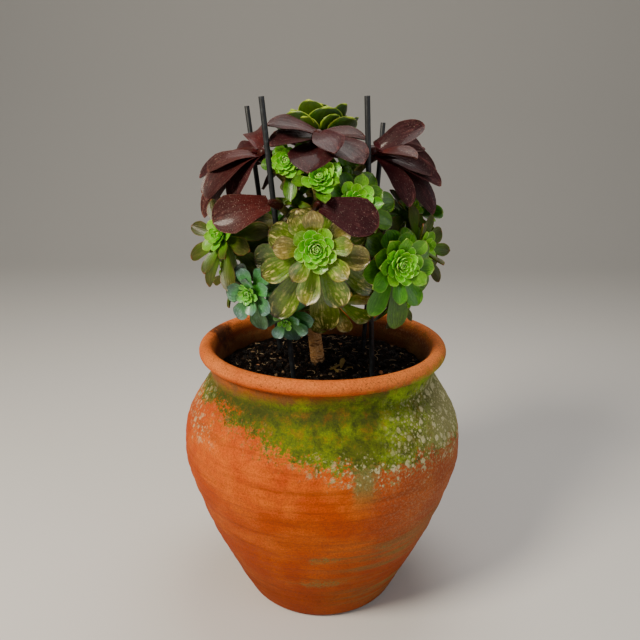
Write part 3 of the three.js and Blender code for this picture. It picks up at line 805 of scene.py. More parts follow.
@dataclass
class Jar:
    """The bellied jar, turned from one outline, with the spiral marks of throwing left in it."""

    foot_radius: float = 77
    foot_chamfer: float = 3
    belly: Sequence[tuple] = (
        (83.5, 9), (98, 40), (120.5, 90), (139.5, 148), (142.5, 173), (138.5, 201), (121.5, 231),
    )
    neck_radius: float = 113.5
    neck_inner: float = 105.8
    neck_foot: float = 243
    neck_top: float = 258
    neck_flare: float = 3
    lip_radius: float = 7.3
    lip_centre: tuple = (117.7, 269.7)
    lip_turn: tuple = (-1.75, 2.95)
    wall: float = 8
    floor: float = 13
    drain_hole: float = 11
    steps: int = 144
    ridge: float = 0.6
    ridge_pitch: float = 8.5

    def wall_radius(self, height: float) -> float:
        """Finds the inner wall's radius at a height inside the jar."""
        points = [spline(self.belly, k / 60) for k in range(61)]
        return min(points, key=lambda p: abs(p[1] - height))[0] - self.wall

    def outline(self) -> list:
        """Lists the closed outline.

        Returns:
            Points of radius and height, from the drain hole out, up and in again.
        """
        side = [(self.foot_radius + self.foot_chamfer, self.foot_chamfer), *self.belly]
        side.append((self.neck_radius, self.neck_foot))
        outer = [spline(side, k / 80) for k in range(81)]
        start, end = self.lip_turn
        turns = [mix(start, end, k / 20) for k in range(21)]
        centre, height = self.lip_centre
        lip = [
            (centre + self.lip_radius * math.cos(a), height + self.lip_radius * math.sin(a)) for a in turns
        ]
        inner = [(self.wall_radius(z), z) for z in (225, 200, 170, 120, 70, 40, self.floor)]
        return [
            (self.drain_hole, 0), (self.foot_radius, 0), *outer,
            (self.neck_radius + self.neck_flare * 0.35, mix(self.neck_foot, self.neck_top, 0.6)),
            (self.neck_radius + self.neck_flare, self.neck_top), *lip,
            (self.neck_inner, self.neck_top), (self.neck_inner, self.neck_foot), *inner,
            (self.drain_hole, self.floor),
        ]

    def build(self) -> None:
        """Turns the jar and presses the throwing marks into its side."""
        bm = bmesh.new()
        for vert in spun(bm, self.outline(), self.steps, closed=True):
            x, y, z = vert.co
            angle = math.atan2(y, x)
            on_side = smooth_step(8, 30, z) * smooth_step(236, 215, z)
            spiral = math.sin(math.tau * z / self.ridge_pitch + angle + 1.3 * math.sin(z / 19))
            low = mix(1.0, 0.45, smooth_step(90, 190, z))
            wobble = math.sin(2 * angle + z / 70) * 0.5
            push = on_side * (self.ridge * low * spiral + wobble)
            vert.co += Vector((x, y, 0)).normalized() * push
        clay = JarSurface(TerracottaFinish()).make()
        finish_piece(bm, "jar_thrown", [clay], ["terracotta_jar"], sharp=60)


# Potting mix


@dataclass
class PottingMix:
    """The compost, with crumbs of bark, curled fibres, pale chips and shed leaves lying on it."""

    jar: Jar
    height: float = SOIL_LEVEL
    gap: float = 0.3
    steps: int = 96
    rings: int = 40
    seed: int = 11
    crumbs: int = 1500
    kinds: tuple = (12, 5, 3)
    spreads: tuple = (3.6, 2.6, 1.2, 0)
    fibres: int = 150
    fallen: Sequence[tuple] = ((12, -16, 20, 7), (20, -8, 80, 8), (16, -26, 140, 6), (27, -18, 300, 6))
    chips: Sequence[tuple] = ((-46, -52), (32, -62), (3, -58), (-20, -70), (58, -30), (-66, -10), (20, 60))

    def surface(self, x: float, y: float) -> float:
        """Gives the height of the broad lumps at a place."""
        lumps = math.sin(x * 0.13) * math.cos(y * 0.17) + math.sin(x * 0.31 - y * 0.27) / 2
        return self.height + 1.6 * lumps - 0.0003 * (x * x + y * y)

    def build_body(self) -> None:
        """Fills the jar up to the crumbly surface."""
        rim = self.jar.neck_inner - self.gap
        rooms = [(self.jar.wall_radius(z) - self.gap, z) for z in (70, 120, 170, 225)]
        floor = self.jar.floor + self.gap
        top = [(rim * (1 - k / self.rings), self.height) for k in range(self.rings + 1)]
        profile = [
            (0, floor), (self.jar.wall_radius(self.jar.floor) - self.gap, floor), *rooms,
            (rim, self.jar.neck_foot), *top,
        ]
        bm = bmesh.new()
        for vert in spun(bm, profile, self.steps):
            if vert.co.z > self.height - 1:
                x, y, _ = vert.co
                rough = noise.fractal(Vector((x, y, 0)) * 0.16, 0.9, 2.1, 4)
                inside = smooth_step(rim, rim - 5, math.hypot(x, y))
                vert.co.z = self.surface(x, y) + 2.8 * rough * inside
        finish = CompostFinish("bark_compost_milled", dark="#050302", light="#4a2e16", shine=0.06)
        finish_piece(bm, "compost_bed", [finish.make()], ["potting_mix"], sharp=80)

    def spot(self, draw: random.Random, reach: float) -> Vector:
        """Picks a place on the surface.

        Args:
            draw: The source of random numbers.
            reach: The greatest distance from the jar's axis.

        Returns:
            The place.
        """
        radius = reach * math.sqrt(draw.random())
        angle = draw.uniform(0, math.tau)
        x, y = radius * math.cos(angle), radius * math.sin(angle)
        return Vector((x, y, self.surface(x, y)))

    def build_crumbs(self) -> None:
        """Scatters broken bark, and a few tan chips, over the surface."""
        draw = random.Random(self.seed)
        bm = bmesh.new()
        reach = self.jar.neck_inner - 4
        kinds = draw.choices((0, 1, 2), self.kinds, k=self.crumbs)
        places = [(self.spot(draw, reach), kind) for kind in kinds]
        places += [(Vector((x, y, self.surface(x, y) + 1.2)), 3) for x, y in self.chips]
        for place, kind in places:
            spread = self.spreads[kind]
            size = 0.9 + spread * draw.random() ** 2 if spread else draw.uniform(2.4, 3.2)
            made = bmesh.ops.create_icosphere(bm, subdivisions=1, radius=size)["verts"]
            for vert in made:
                vert.co *= draw.uniform(0.75, 1.15)
            bmesh.ops.scale(bm, vec=(1, draw.uniform(0.5, 1), draw.uniform(0.35, 0.8)), verts=made)
            turn = Quaternion((draw.random(), draw.random(), draw.random()), draw.uniform(0, math.pi))
            bmesh.ops.rotate(bm, cent=(0, 0, 0), matrix=turn.to_matrix(), verts=made)
            bmesh.ops.translate(bm, vec=place + Vector((0, 0, size * 0.15)), verts=made)
            for face in {f for v in made for f in v.link_faces}:
                face.material_index = kind
        finishes = [
            CompostFinish("bark_crumb_damp", dark="#060403", light="#4a3018", rough=0.42),
            CompostFinish("bark_crumb_broken", dark="#24160c", light="#6a4a2a"),
            CompostFinish("bark_splinter_pale", dark="#84684a", light="#d4bc94", rough=0.75),
            CompostFinish("bark_chip_dry", dark="#a8704c", light="#dca880", rough=0.75),
        ]
        finish_piece(bm, "compost_crumbs", [f.make() for f in finishes], sharp=20)

    def build_fibres(self) -> None:
        """Lays short curled root fibres on the surface."""
        draw = random.Random(self.seed + 1)
        bm = bmesh.new()
        for _ in range(self.fibres):
            place = self.spot(draw, self.jar.neck_inner - 12)
            bend = draw.uniform(1.5, 7)
            turn = draw.uniform(0.7, 2.6)
            ring = bmesh.ops.create_circle(bm, segments=5, radius=draw.uniform(0.2, 0.4))["verts"]
            bmesh.ops.translate(bm, vec=(bend, 0, 0), verts=ring)
            bmesh.ops.rotate(
                bm, cent=(bend, 0, 0), matrix=Matrix.Rotation(math.pi / 2, 3, "X"), verts=ring
            )
            edges = list({e for v in ring for e in v.link_edges})
            before = set(bm.verts) - set(ring)
            bmesh.ops.spin(
                bm, geom=ring + edges, cent=(0, 0, 0), axis=(0, 0, 1), angle=turn, steps=7
            )
            made = [v for v in bm.verts if v not in before]
            tilt = Matrix.Rotation(draw.uniform(-0.35, 0.35), 3, "X")
            heading = Matrix.Rotation(draw.uniform(0, math.tau), 3, "Z")
            bmesh.ops.rotate(bm, cent=(0, 0, 0), matrix=heading @ tilt, verts=made)
            bmesh.ops.translate(bm, vec=place + Vector((0, 0, 1.6)), verts=made)
        bmesh.ops.holes_fill(bm, edges=[e for e in bm.edges if e.is_boundary], sides=5)
        finish = CompostFinish("root_fibre_dry", dark="#a8906c", light="#e8dcc0", rough=0.75)
        finish_piece(bm, "compost_fibres", [finish.make()], sharp=80)

    def build_fallen_leaves(self) -> None:
        """Lays a few shed leaves, yellowed and curled, round the foot of the stem."""
        draw = random.Random(self.seed + 2)
        bm = bmesh.new()
        for x, y, heading, length in self.fallen:
            made = bmesh.ops.create_uvsphere(bm, u_segments=12, v_segments=10, radius=1)["verts"]
            bend = draw.uniform(0.5, 1.0)
            for vert in made:
                along, across, up = vert.co.z, vert.co.x, vert.co.y
                wide = 0.42 * (0.75 + 0.35 * along)
                sag = bend * along * along * 0.3 + 0.25 * across * across
                vert.co = Vector((along * length, across * wide * length, up * 0.5 + sag * length * 0.5))
            turns = Matrix.Rotation(math.radians(heading), 3, "Z") @ Matrix.Rotation(-0.35, 3, "Y")
            bmesh.ops.rotate(bm, cent=(0, 0, 0), matrix=turns, verts=made)
            lowest = min(v.co.z for v in made)
            bmesh.ops.translate(bm, vec=(x, y, self.surface(x, y) - lowest - 0.4), verts=made)
        finish = CompostFinish("shed_leaf_dry", dark="#8c7438", light="#c4a868", rough=0.7)
        finish_piece(bm, "fallen_leaves", [finish.make()], sharp=80)

    def build(self) -> None:
        """Makes the bed and what lies on it."""
        self.build_body()
        self.build_crumbs()
        self.build_fibres()
        self.build_fallen_leaves()


# Canes


@dataclass
class Canes:
    """Four thin canes pushed into the compost."""

    radius: float = 2.5
    foot: float = 150
    sides: int = 20
    bevel: float = 0.4
    places: Sequence[tuple] = (
        ("cane_front_left", (-28, -42), (-53, -58, 509)),
        ("cane_front_right", (49, -36), (36, -58, 510)),
        ("cane_back_left", (-46, 38), (-77, 47, 503)),
        ("cane_back_right", (44, 42), (59, 47, 488)),
    )

    def build(self) -> None:
        """Makes each cane as a rod with softly broken end edges."""
        material = CaneFinish().make()
        for node, at, tip in self.places:
            top = Vector(tip)
            axis = (top - Vector((*at, SOIL_LEVEL))).normalized()
            length = (top.z - self.foot) / axis.z
            bm = bmesh.new()
            bmesh.ops.create_cone(
                bm, cap_ends=True, segments=self.sides,
                radius1=self.radius, radius2=self.radius, depth=length,
            )
            rims = [e for e in bm.edges if all(abs(abs(v.co.z) - length / 2) < 1e-3 for v in e.verts)]
            bmesh.ops.bevel(
                bm, geom=rims, offset=self.bevel, segments=2, profile=0.5, affect="EDGES", material=-1
            )
            turn = UP.rotation_difference(axis).to_matrix()
            bmesh.ops.rotate(bm, cent=(0, 0, 0), matrix=turn, verts=bm.verts)
            bmesh.ops.translate(bm, vec=top - axis * (length / 2), verts=bm.verts)
            finish_piece(bm, node + "_sleeve", [material], [node])


# Stem


@dataclass
class Stem:
    """The short trunk and its branches, with the forks grown together."""

    voxel: float = 1.3
    smoothing: int = 8

    def build(self) -> None:
        """Rounds a copy of the plain stem, so that its forks grow together."""
        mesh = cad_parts["stem"].data.copy()
        bm = bmesh.new()
        bm.from_mesh(mesh)
        bmesh.ops.remove_doubles(bm, verts=bm.verts, dist=1e-6)
        bmesh.ops.scale(bm, vec=(1 / MM,) * 3, verts=bm.verts)
        piece = finish_piece(bm, "stem_bark", [BarkFinish().make()], ["stem"], sharp=80)
        grown = piece.modifiers.new("grown", "REMESH")
        grown.mode = "VOXEL"
        grown.voxel_size = self.voxel * MM
        grown.use_smooth_shade = True
        rounded = piece.modifiers.new("rounded", "SMOOTH")
        rounded.factor = 0.5
        rounded.iterations = self.smoothing


# Heads


class Habit(Enum):
    """The kinds of rosette on the plant."""

    BRONZE = "bronze"
    GREEN = "green"
    MINT = "mint"
    OLIVE = "olive"
    CUP = "cup"
    PURPLE = "purple"


@dataclass(frozen=True)
class LeafHabit:
    """How the leaves of one kind grow: angles in degrees for the oldest and the youngest leaf."""

    tilt: tuple
    curl: tuple
    hang: float
    width: float
    waist: float
    blunt: float
    thick: float
    finish: LeafFinish
    slot: str


HABITS = {
    Habit.BRONZE: LeafHabit((-18, 24), (-20, 12), 0.6, 0.31, 0.19, 6.5, 2.8, BRONZE_LEAF, "bronze_leaf"),
    Habit.GREEN: LeafHabit((-20, 26), (-12, 16), 0.5, 0.3, 0.2, 6, 2.6, GREEN_LEAF, "green_leaf"),
    Habit.MINT: LeafHabit((-18, 26), (-8, 14), 0.3, 0.38, 0.2, 6, 2.4, MINT_LEAF, "mint_leaf"),
    Habit.OLIVE: LeafHabit((-34, 24), (-26, 10), 0.25, 0.24, 0.24, 4.2, 2.4, OLIVE_LEAF, "olive_leaf"),
    Habit.CUP: LeafHabit((0, 50), (54, 36), 0, 0.42, 0.3, 6, 2.2, CUP_LEAF, "cup_leaf"),
    Habit.PURPLE: LeafHabit((-10, 40), (-30, 0), 0, 0.27, 0.34, 3.6, 2.8, PURPLE_LEAF, "purple_leaf"),
}


@dataclass(frozen=True)
class HeadPlan:
    """One head: where its youngest leaves meet, the way it faces, and its leaves."""

    name: str
    habit: Habit
    at: tuple
    faces: tuple
    leaf: float
    leaves: int = 0
    heart: int = 0
    rings: int = 4
    core: float = 1
    broad: float = 1
    bud: float = 1
    tilt: Optional[tuple] = None
    curl: Optional[tuple] = None
    tips: tuple = ()


HEADS = (
    HeadPlan("leaf_left", Habit.PURPLE, (-46, -82, 424), (-25, 15), 48, core=0.5, broad=1.45,
             tips=((-92, -84, 407),)),
    HeadPlan("leaf_right", Habit.PURPLE, (-4, -88, 424), (4, 20), 48, core=0.5, broad=1.4,
             tips=((44, -92, 406),)),
    HeadPlan("rosette_front", Habit.BRONZE, (-6, -94, 386), (0, 6), 54, 22, 9, bud=1.1),
    HeadPlan("rosette_front_right", Habit.GREEN, (68, -74, 369), (24, 4), 44, 20, 9, bud=1.3),
    HeadPlan("crown_skirt", Habit.PURPLE, (-5, -42, 481), (-6, 66), 44, broad=1.35,
             tips=((-13, -79, 449, 1.8), (38, -70, 459), (-47, -54, 472, 1.5), (36, -28, 474),
                   (-48, -44, 486), (8, -80, 465))),
    HeadPlan("rosette_left", Habit.OLIVE, (-92, -57, 391), (-40, 22), 54, 20, 5),
    HeadPlan("rosette_upper_right", Habit.GREEN, (28, -74, 423), (18, 18), 38, 14, 7, bud=1.4),
    HeadPlan("rosette_upper", Habit.GREEN, (-4, -76, 444), (6, 30), 27, 8, 10, 3, bud=2),
    HeadPlan("rosette_upper_left", Habit.GREEN, (-32, -54, 456), (-14, 14), 27, 8, 9, 3, bud=1.8),
    HeadPlan("rosette_low_left", Habit.MINT, (-66, -80, 343), (-26, -4), 31, 12, 5, 3),
    HeadPlan("rosette_low_front", Habit.BRONZE, (12, -66, 328), (8, -30), 42, 13, 0, 3),
    HeadPlan("rosette_low_front_left", Habit.MINT, (-34, -74, 317), (-12, -18), 28, 9, 3, 3),
    HeadPlan("crown_cup", Habit.CUP, (-5, 9, 478), (178, 82), 50, 17, 4, 3),
    HeadPlan("purple_left", Habit.PURPLE, (-58, -14, 464), (-34, 48), 60, broad=0.82, curl=(-62, -62),
             tips=((-116, -5, 438), (-103, -32, 446), (-110, -26, 424), (-112, -14, 402), (-100, -42, 414),
                   (-80, -48, 420), (-106, 24, 430), (-90, 32, 450), (-66, 30, 478))),
    HeadPlan("purple_right", Habit.PURPLE, (46, -22, 466), (34, 46), 60, broad=0.88, curl=(-40, -40),
             tips=((90, -15, 486), (80, -50, 460), (97, -34, 450), (106, -26, 434), (102, -20, 408),
                   (76, -48, 418), (106, 6, 446), (94, 22, 466), (70, 42, 456))),
    HeadPlan("rosette_right", Habit.OLIVE, (94, -28, 376), (50, 8), 50, 16, 5, tilt=(-12, 30)),
    HeadPlan("rosette_right_upper", Habit.OLIVE, (84, -22, 410), (60, 30), 38, 12, 4, 3),
    HeadPlan("rosette_low_right", Habit.OLIVE, (76, -48, 328), (50, -10), 34, 11, 4, 3),
    HeadPlan("rosette_low_left_side", Habit.OLIVE, (-92, -26, 348), (-70, -4), 42, 13, 4, 3),
    HeadPlan("rosette_left_back", Habit.BRONZE, (-98, 22, 392), (-104, 16), 46, 12, 5, 3),
    HeadPlan("rosette_back_left", Habit.GREEN, (-62, 76, 376), (-142, 8), 46, 12, 6, 3),
    HeadPlan("rosette_back", Habit.BRONZE, (10, 94, 384), (176, 10), 50, 13, 5, 3),
    HeadPlan("rosette_back_right", Habit.OLIVE, (84, 54, 372), (122, 8), 46, 12, 5, 3),
    HeadPlan("rosette_right_back", Habit.GREEN, (98, 22, 404), (94, 24), 36, 11, 5, 3),
    HeadPlan("rosette_back_upper", Habit.GREEN, (22, 70, 440), (164, 28), 36, 12, 5, 3),
    HeadPlan("purple_back", Habit.PURPLE, (-24, 50, 466), (-158, 56), 58, 9, 0, tilt=(-22, 18)),
    HeadPlan("rosette_low_back_left", Habit.MINT, (-34, 82, 334), (-158, -8), 32, 10, 3, 3),
    HeadPlan("rosette_low_back_right", Habit.OLIVE, (46, 76, 330), (148, -8), 36, 10, 3, 3),
    HeadPlan("rosette_inner_right", Habit.OLIVE, (20, -56, 448), (14, 16), 30, 8, 0, 3),
    HeadPlan("rosette_inner_left", Habit.OLIVE, (-27, -56, 424), (-14, 10), 32, 8, 0, 3),
)
CORE_LENGTH = 18
# What a leaf may be shrunk to, and leant and swung by in degrees, in the order in which it is tried.
SIZES = (1, 0.86, 0.72, 0.58)
MOVES = (
    (0, 0), (8, 0), (-8, 0), (0, 9), (0, -9), (16, 0), (-16, 0), (8, 9), (8, -9),
    (24, 0), (-24, 0), (0, 18), (0, -18), (34, 0), (-34, 0), (46, 0),
)


@dataclass(frozen=True)
class HeartHabit:
    """How the young leaves of a heart grow, with pairs for the oldest and the youngest of them."""

    share: int
    length: tuple
    shrink: float
    tilt: tuple
    lift: float
    sunk: float
    width: float
    thick: float
    curl: tuple
    start: Optional[float] = None


# A flat heart has four young leaves for each plain one of the solid, and a cup has eight.
FLAT_HEART = HeartHabit(4, (0.36, 0.0936), 0.8, (12, 78), 1.3, 1.5, 0.42, 0.4, (14, 46))
CUPPED_HEART = HeartHabit(8, (0.84, 0.2), 1.1, (8, 78), 1, 0.66 * CORE_LENGTH, 0.33, 0.6, (52, 34), 0.5)


@dataclass
class Leaf:
    """One leaf: where it springs from, its angles in radians and its sizes."""

    turn: float
    tilt: float
    along: float
    length: float
    width: float
    thick: float
    curl: float
    youth: float
    lean: float = 0
    swing: float = 0
    size: float = 1


@dataclass
class Rosette:
    """A head of leaves round one growing point."""

    plan: HeadPlan
    index: int
    habit: LeafHabit = field(init=False)
    axis: Vector = field(init=False)
    across: Vector = field(init=False)
    rise: Vector = field(init=False)
    apex: Vector = field(init=False)
    gap: float = 0.5
    reach: float = 4
    match: float = 0.03
    jitters: tuple = (4, 2.5, 0.08)
    old_point: float = 0.9
    young_point: float = 0.3
    ripple: float = 0.5

    def __post_init__(self) -> None:
        """Works out the head's own axes."""
        azimuth, elevation = (math.radians(a) for a in self.plan.faces)
        level = math.cos(elevation)
        self.habit = HABITS[self.plan.habit]
        self.axis = Vector(
            (math.sin(azimuth) * level, -math.cos(azimuth) * level, math.sin(elevation))
        )
        self.across = UP.cross(self.axis).normalized()
        self.rise = self.axis.cross(self.across)
        self.apex = Vector(self.plan.at)

    def old_leaves(self) -> list:
        """Lists the grown leaves.

        Returns:
            The leaves, the oldest first.
        """
        plan, habit = self.plan, self.habit
        curl = plan.curl or habit.curl
        lift = plan.tilt or habit.tilt
        draw = seeded_numbers(1000 + self.index * 77)
        leaves = []
        for i in range(plan.leaves):
            age = i / max(1, plan.leaves - 1)
            turned, tilted, grown = ((draw() - 0.5) * 2 * most for most in self.jitters)
            turn = math.radians(i * GOLDEN_ANGLE + turned)
            down = math.cos(turn) * self.across.z + math.sin(turn) * self.rise.z
            below = -down * (1 - age)
            # Leaves shorten towards the heart, spring from higher up the core and hang longer underneath.
            size = 1 - 0.42 * age**1.3
            leaves.append(
                Leaf(
                    turn=turn,
                    tilt=math.radians(mix(*lift, age) + tilted),
                    along=-CORE_LENGTH * mix(0.72, 0.12, age),
                    length=plan.leaf * size * (1 + grown) * (1 + habit.hang * max(-0.4, below)),
                    width=plan.leaf * habit.width * size,
                    thick=habit.thick * mix(1, 0.8, age),
                    curl=math.radians(mix(*curl, age)),
                    youth=0.48 * age,
                )
            )
        return leaves

    def placed_leaves(self) -> list:
        """Lists the big leaves whose tips are given.

        Returns:
            The leaves, in the order of their tips.
        """
        plan, habit = self.plan, self.habit
        curl = plan.curl or habit.curl
        leaves = []
        for k, tip in enumerate(plan.tips):
            along = -CORE_LENGTH * 0.72 * (1 - (k + 0.7) / len(plan.tips))
            chord = Vector(tip[:3]) - self.apex - self.axis * along
            bend = math.radians(curl[0])
            length = chord.length * bend / 2 / math.sin(bend / 2)
            leaves.append(
                Leaf(
                    turn=math.atan2(chord.dot(self.rise), chord.dot(self.across)),
                    tilt=math.asin(chord.dot(self.axis) / chord.length) - bend / 2,
                    along=along,
                    length=length,
                    width=max(length, plan.leaf) * habit.width * (tip[3] if len(tip) > 3 else plan.broad),
                    thick=habit.thick,
                    curl=bend,
                    youth=0.1,
                )
            )
        return leaves

    def young_leaves(self) -> list:
        """Lists the young leaves of the heart, the oldest first.

        Returns:
            Several leaves for each plain one of the solid.
        """
        plan = self.plan
        heart = CUPPED_HEART if plan.habit is Habit.CUP else FLAT_HEART
        start = plan.leaves if heart.start is None else heart.start
        count = plan.heart * heart.share
        leaves = []
        for i in range(count):
            age = i / max(1, count - 1)
            length = plan.leaf * plan.bud * mix(*heart.length, age**heart.shrink)
            leaves.append(
                Leaf(
                    turn=math.radians((i + start) * GOLDEN_ANGLE),
                    tilt=math.radians(mix(*heart.tilt, age**heart.lift)),
                    along=-heart.sunk * (1 - age),
                    length=length,
                    width=heart.width * length,
                    thick=heart.thick * self.habit.thick,
                    curl=math.radians(mix(*heart.curl, age)),
                    youth=mix(0.56, 1, age),
                )
            )
        return leaves

    def is_clear(self, leaf: Leaf, neighbours: Sequence[BVHTree]) -> bool:
        """Tells whether a young leaf stays outside the other nodes.

        Args:
            leaf: The leaf.
            neighbours: The skins of the other nodes, in metres.

        Returns:
            True where no point of its rim lies inside another node, or nearer to one than the gap.
        """
        rim = [self.point(leaf, 1, 0, 0, 1)]
        rim += [self.point(leaf, t, x, 0, 1) for t in (0.5, 0.75, 0.93) for x in (-1, 0, 1)]
        for skin in neighbours:
            for spot in rim:
                near, normal, _, away = skin.find_nearest(spot * MM, self.reach * MM)
                if near is None:
                    continue
                if away < self.gap * MM or (spot * MM - near).dot(normal) < 0:
                    return False
        return True

    def point(self, leaf: Leaf, t: float, x: float, z: float, edge: float) -> Vector:
        """Finds a point of a leaf.

        Args:
            leaf: The leaf.
            t: How far along it the point is, from 0 to 1.
            x: Its place across the blade, from -1 to 1.
            z: Its height in the blade's thickness, as a share of that thickness.
            edge: The power by which the blade's edges rise.

        Returns:
            The point in millimetres.
        """
        turn = leaf.turn + leaf.swing
        tilt = leaf.tilt + leaf.lean
        outward = Quaternion(self.axis, turn) @ self.across
        side = self.axis.cross(outward)
        length = leaf.length * leaf.size
        # The midrib is an arc that sets out at the tilt and turns by the bend.
        bend = leaf.curl or 1e-3
        angle = tilt + bend * t
        out = (math.sin(angle) - math.sin(tilt)) / bend * length
        rise = (math.cos(tilt) - math.cos(angle)) / bend * length
        # The blade widens from its waist and rounds off at its tip.
        habit = self.habit
        spread = min(1, habit.waist + 1.08 * t**1.25) * math.sqrt(max(0, 1 - t**habit.blunt))
        half = leaf.width * leaf.size * spread
        # It is thickest just past its middle, and its edges rise like those of a shallow dish.
        swell = 0.55 + 1.4 * t - 1.25 * t * t
        lifted = z * leaf.thick * swell + 0.2 * half * abs(x) ** edge
        root = self.apex + self.axis * leaf.along + outward * 1.5
        root += outward * (out - lifted * math.sin(angle))
        root += self.axis * (rise + lifted * math.cos(angle))
        return root - side * (x * half)

    def settle(self, leaf: Leaf, known: kdtree.KDTree) -> bool:
        """Finds how the leaf was moved out of its neighbours' way in the solid.

        Args:
            leaf: The leaf, whose lean, swing and size are set.
            known: The corners of the solid, in millimetres.

        Returns:
            Whether the solid shows the leaf at all.
        """
        # A leaf of the solid is known by its tip and by three corners of the ring next to it.
        turn = math.cos(math.pi / self.plan.rings)
        t = ((1 + turn) / 2) ** 0.8
        best = 0
        found = (0, 0, 1)
        for size in SIZES:
            for lift, swing in MOVES:
                leaf.size, leaf.lean, leaf.swing = size, math.radians(lift), math.radians(swing)
                marks = [self.point(leaf, 1, 0, 0, 1)]
                marks += [self.point(leaf, t, x, z, 1) for x, z in ((-1, 0.35), (1, 0.35), (0, -0.75))]
                hits = sum(known.find(mark)[2] < self.match for mark in marks)
                if hits > best:
                    best = hits
                    found = (leaf.lean, leaf.swing, size)
        leaf.lean, leaf.swing, leaf.size = found
        return best > 0

    def add_leaf(self, bm: bmesh.types.BMesh, leaf: Leaf, tone: float) -> None:
        """Adds a leaf's blade, with its rounded edge and its small point.

        Args:
            bm: The head's mesh.
            leaf: The leaf.
            tone: From 0 to 1, how light its colour is.
        """
        layers = {key: bm.verts.layers.float[key] for key in LEAF_MARKS}
        around, rows = (16, 14) if leaf.youth < 0.5 else (10, 8)
        made = bmesh.ops.create_uvsphere(bm, u_segments=around, v_segments=rows, radius=1)["verts"]
        wave = tone * 6
        for vert in made:
            x, z, y = vert.co
            ring = math.sqrt(max(1e-9, x * x + z * z))
            t = ((1 + min(1, max(-1, y))) / 2) ** 0.8
            x, z = (x / ring, z / ring) if ring > 1e-3 else (0, 0)
            rise = abs(x) ** 1.8
            middle = mix(-0.36, 0.3, rise)
            height = middle + z * mix(0.4, 0.12, rise)
            flat = 0 if ring < 1e-3 else 1
            spot = self.point(leaf, t, x, height * flat, 1.7)
            ripple = self.ripple * math.sin(t * 9 + wave + x * 1.5) * abs(x) * smooth_step(0.2, 0.6, t)
            spot += self.axis * ripple * (0 if leaf.youth > 0.5 else 1)
            if t > 0.9:
                tip = self.point(leaf, 1, 0, 0, 1) - self.point(leaf, 0.97, 0, 0, 1)
                point = self.old_point if leaf.youth < 0.5 else self.young_point
                spot += tip.normalized() * point * (1 - abs(x)) * smooth_step(0.93, 1, t)
            vert.co = spot
            vert[layers["along"]] = t
            vert[layers["across"]] = x
            vert[layers["youth"]] = leaf.youth
            vert[layers["tone"]] = tone
            vert[layers["back"]] = smooth_step(0.1, -0.35, z)

    def add_core(self, bm: bmesh.types.BMesh) -> None:
        """Adds the leafy tip of the branch that carries the leaves."""
        waist = 8 * self.plan.core
        profile = [(0, -CORE_LENGTH), (4.4, -CORE_LENGTH), (waist, -8.1), (waist * 0.6, -1), (0, 2)]
        made = spun(bm, profile, 12)
        turn = UP.rotation_difference(self.axis).to_matrix()
        bmesh.ops.rotate(bm, cent=(0, 0, 0), matrix=turn, verts=made)
        bmesh.ops.translate(bm, vec=self.apex, verts=made)

    def solid_corners(self) -> kdtree.KDTree:
        """Sorts the corners of the head's solid, so that they are found quickly.

        Returns:
            The tree of corners, in millimetres.
        """
        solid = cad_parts[self.plan.name].data
        known = kdtree.KDTree(len(solid.vertices))
        for i, vert in enumerate(solid.vertices):
            known.insert(vert.co / MM, i)
        known.balance()
        return known

    def build(self, material: bpy.types.Material, skins: dict) -> None:
        """Builds the head in the place of its solid.

        Args:
            material: The finish of its leaves.
            skins: The skin of each node that a young leaf may not enter, by name.
        """
        known = self.solid_corners()
        bm = bmesh.new()
        for key in LEAF_MARKS:
            bm.verts.layers.float.new(key)
        self.add_core(bm)
        draw = random.Random(self.index)
        grown = [leaf for leaf in self.placed_leaves() + self.old_leaves() if self.settle(leaf, known)]
        for leaf in grown:
            self.add_leaf(bm, leaf, draw.random())
        neighbours = [skin for name, skin in skins.items() if name != self.plan.name]
        for leaf in self.young_leaves():
            clear = [size for size in SIZES if self.is_clear(replace(leaf, size=size), neighbours)]
            if clear:
                self.add_leaf(bm, replace(leaf, size=clear[0]), draw.random())
        finish_piece(
            bm, self.plan.name + "_leaves", [material], [self.plan.name], sharp=80
        )


# Studio


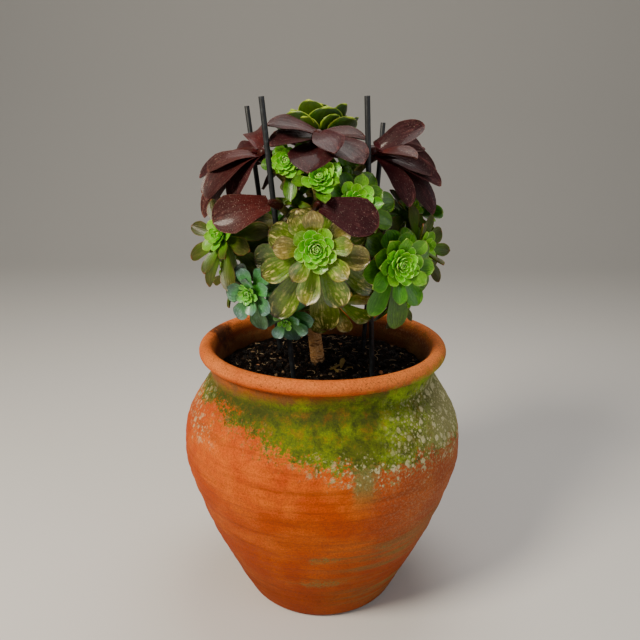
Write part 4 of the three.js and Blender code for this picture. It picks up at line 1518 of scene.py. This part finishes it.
@dataclass
class Studio:
    """The pale floor, the soft lights and the camera at the photograph's angle."""

    camera_place: tuple = (0, -0.6445, 0.4909)
    camera_pitch: float = 16.86
    camera_roll: float = 0.39
    focal_pixels: float = 662.77
    image_pixels: float = 640
    centre_pixel: float = 322.8
    sweep_half: float = 5
    sweep_start: float = 1.6
    sweep_bend: float = 1.2
    sweep_height: float = 4
    floor_colour: str = "#dcdad6"
    air_colour: str = "#d0cfcc"
    air_strength: float = 0.32
    aim: tuple = (0, 0, 0.3)
    lights: Sequence[tuple] = (
        ("key", (-0.9, -0.85, 1.3), 0.5, 31, "#fff4e0"),
        ("fill", (1.0, -0.7, 0.7), 0.9, 3.0, "#f4f6ff"),
        ("top", (0.1, 0.3, 1.3), 0.8, 7, "#fbf4ee"),
    )

    def build_camera(self) -> None:
        """Sets the camera."""
        data = bpy.data.cameras.new("camera")
        data.sensor_width = 36
        data.lens = 36 * self.focal_pixels / self.image_pixels
        data.shift_x = (self.image_pixels / 2 - self.centre_pixel) / self.image_pixels
        camera = bpy.data.objects.new("camera", data)
        pitch = Matrix.Rotation(math.radians(90 - self.camera_pitch), 4, "X")
        roll = Matrix.Rotation(math.radians(self.camera_roll), 4, "Z")
        camera.matrix_world = Matrix.Translation(self.camera_place) @ pitch @ roll
        bpy.context.scene.collection.objects.link(camera)
        bpy.context.scene.camera = camera

    def build_floor(self) -> None:
        """Lays the floor, which sweeps up behind the plant without a seam."""
        bend, start, steps = self.sweep_bend, self.sweep_start, 16
        turns = [math.pi / 2 * k / steps for k in range(steps + 1)]
        profile = [(-self.sweep_half, 0.0)]
        profile += [(start + bend * math.sin(a), bend * (1 - math.cos(a))) for a in turns]
        profile.append((start + bend, self.sweep_height))
        bm = bmesh.new()
        line = [bm.verts.new((-self.sweep_half, y, z)) for y, z in profile]
        edges = [bm.edges.new(pair) for pair in zip(line, line[1:])]
        wide = bmesh.ops.extrude_edge_only(bm, edges=edges)["geom"]
        moved = [v for v in wide if isinstance(v, bmesh.types.BMVert)]
        bmesh.ops.translate(bm, vec=(2 * self.sweep_half, 0, 0), verts=moved)
        bmesh.ops.recalc_face_normals(bm, faces=bm.faces)
        mesh = bpy.data.meshes.new("floor")
        bm.to_mesh(mesh)
        bm.free()
        mesh.shade_smooth()
        floor = bpy.data.objects.new("floor", mesh)
        bpy.context.scene.collection.objects.link(floor)
        f = Finish("studio_floor_matt")
        bump = f.add("Bump", {"Strength": 0.0})
        mesh.materials.append(f.skin(linear(self.floor_colour), 0.9, bump))

    def build_lights(self) -> None:
        """Hangs the soft lights, all turned to the plant."""
        for name, place, size, power, colour in self.lights:
            data = bpy.data.lights.new(name, "AREA")
            data.shape = "DISK"
            data.size = size
            data.energy = power
            data.color = linear(colour)[:3]
            light = bpy.data.objects.new(name, data)
            aim = Vector(self.aim) - Vector(place)
            turn = aim.to_track_quat("-Z", "Y").to_matrix().to_4x4()
            light.matrix_world = Matrix.Translation(place) @ turn
            bpy.context.scene.collection.objects.link(light)
        world = bpy.data.worlds.new("studio_air")
        world.use_nodes = True
        back = world.node_tree.nodes["Background"]
        back.inputs["Color"].default_value = linear(self.air_colour)
        back.inputs["Strength"].default_value = self.air_strength
        bpy.context.scene.world = world

    def build(self) -> None:
        """Sets the whole stage."""
        self.build_camera()
        self.build_floor()
        self.build_lights()


def skin_of(name: str) -> BVHTree:
    """Gives the skin of a node's solid, to test what is inside it."""
    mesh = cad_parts[name].data
    return BVHTree.FromPolygons([v.co for v in mesh.vertices], [p.vertices for p in mesh.polygons])


def main() -> None:
    """Builds the pieces in order, from the jar up."""
    logging.basicConfig(level=logging.INFO, format="%(message)s")
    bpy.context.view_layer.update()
    Studio().build()
    jar = Jar()
    jar.build()
    PottingMix(jar).build()
    Canes().build()
    Stem().build()
    materials = {kind: LeafSurface(habit.finish).make() for kind, habit in HABITS.items()}
    skins = {name: skin_of(name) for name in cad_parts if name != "stem"}
    for index, plan in enumerate(HEADS):
        Rosette(plan, index).build(materials[plan.habit], skins)


if __name__ == "__main__":
    main()
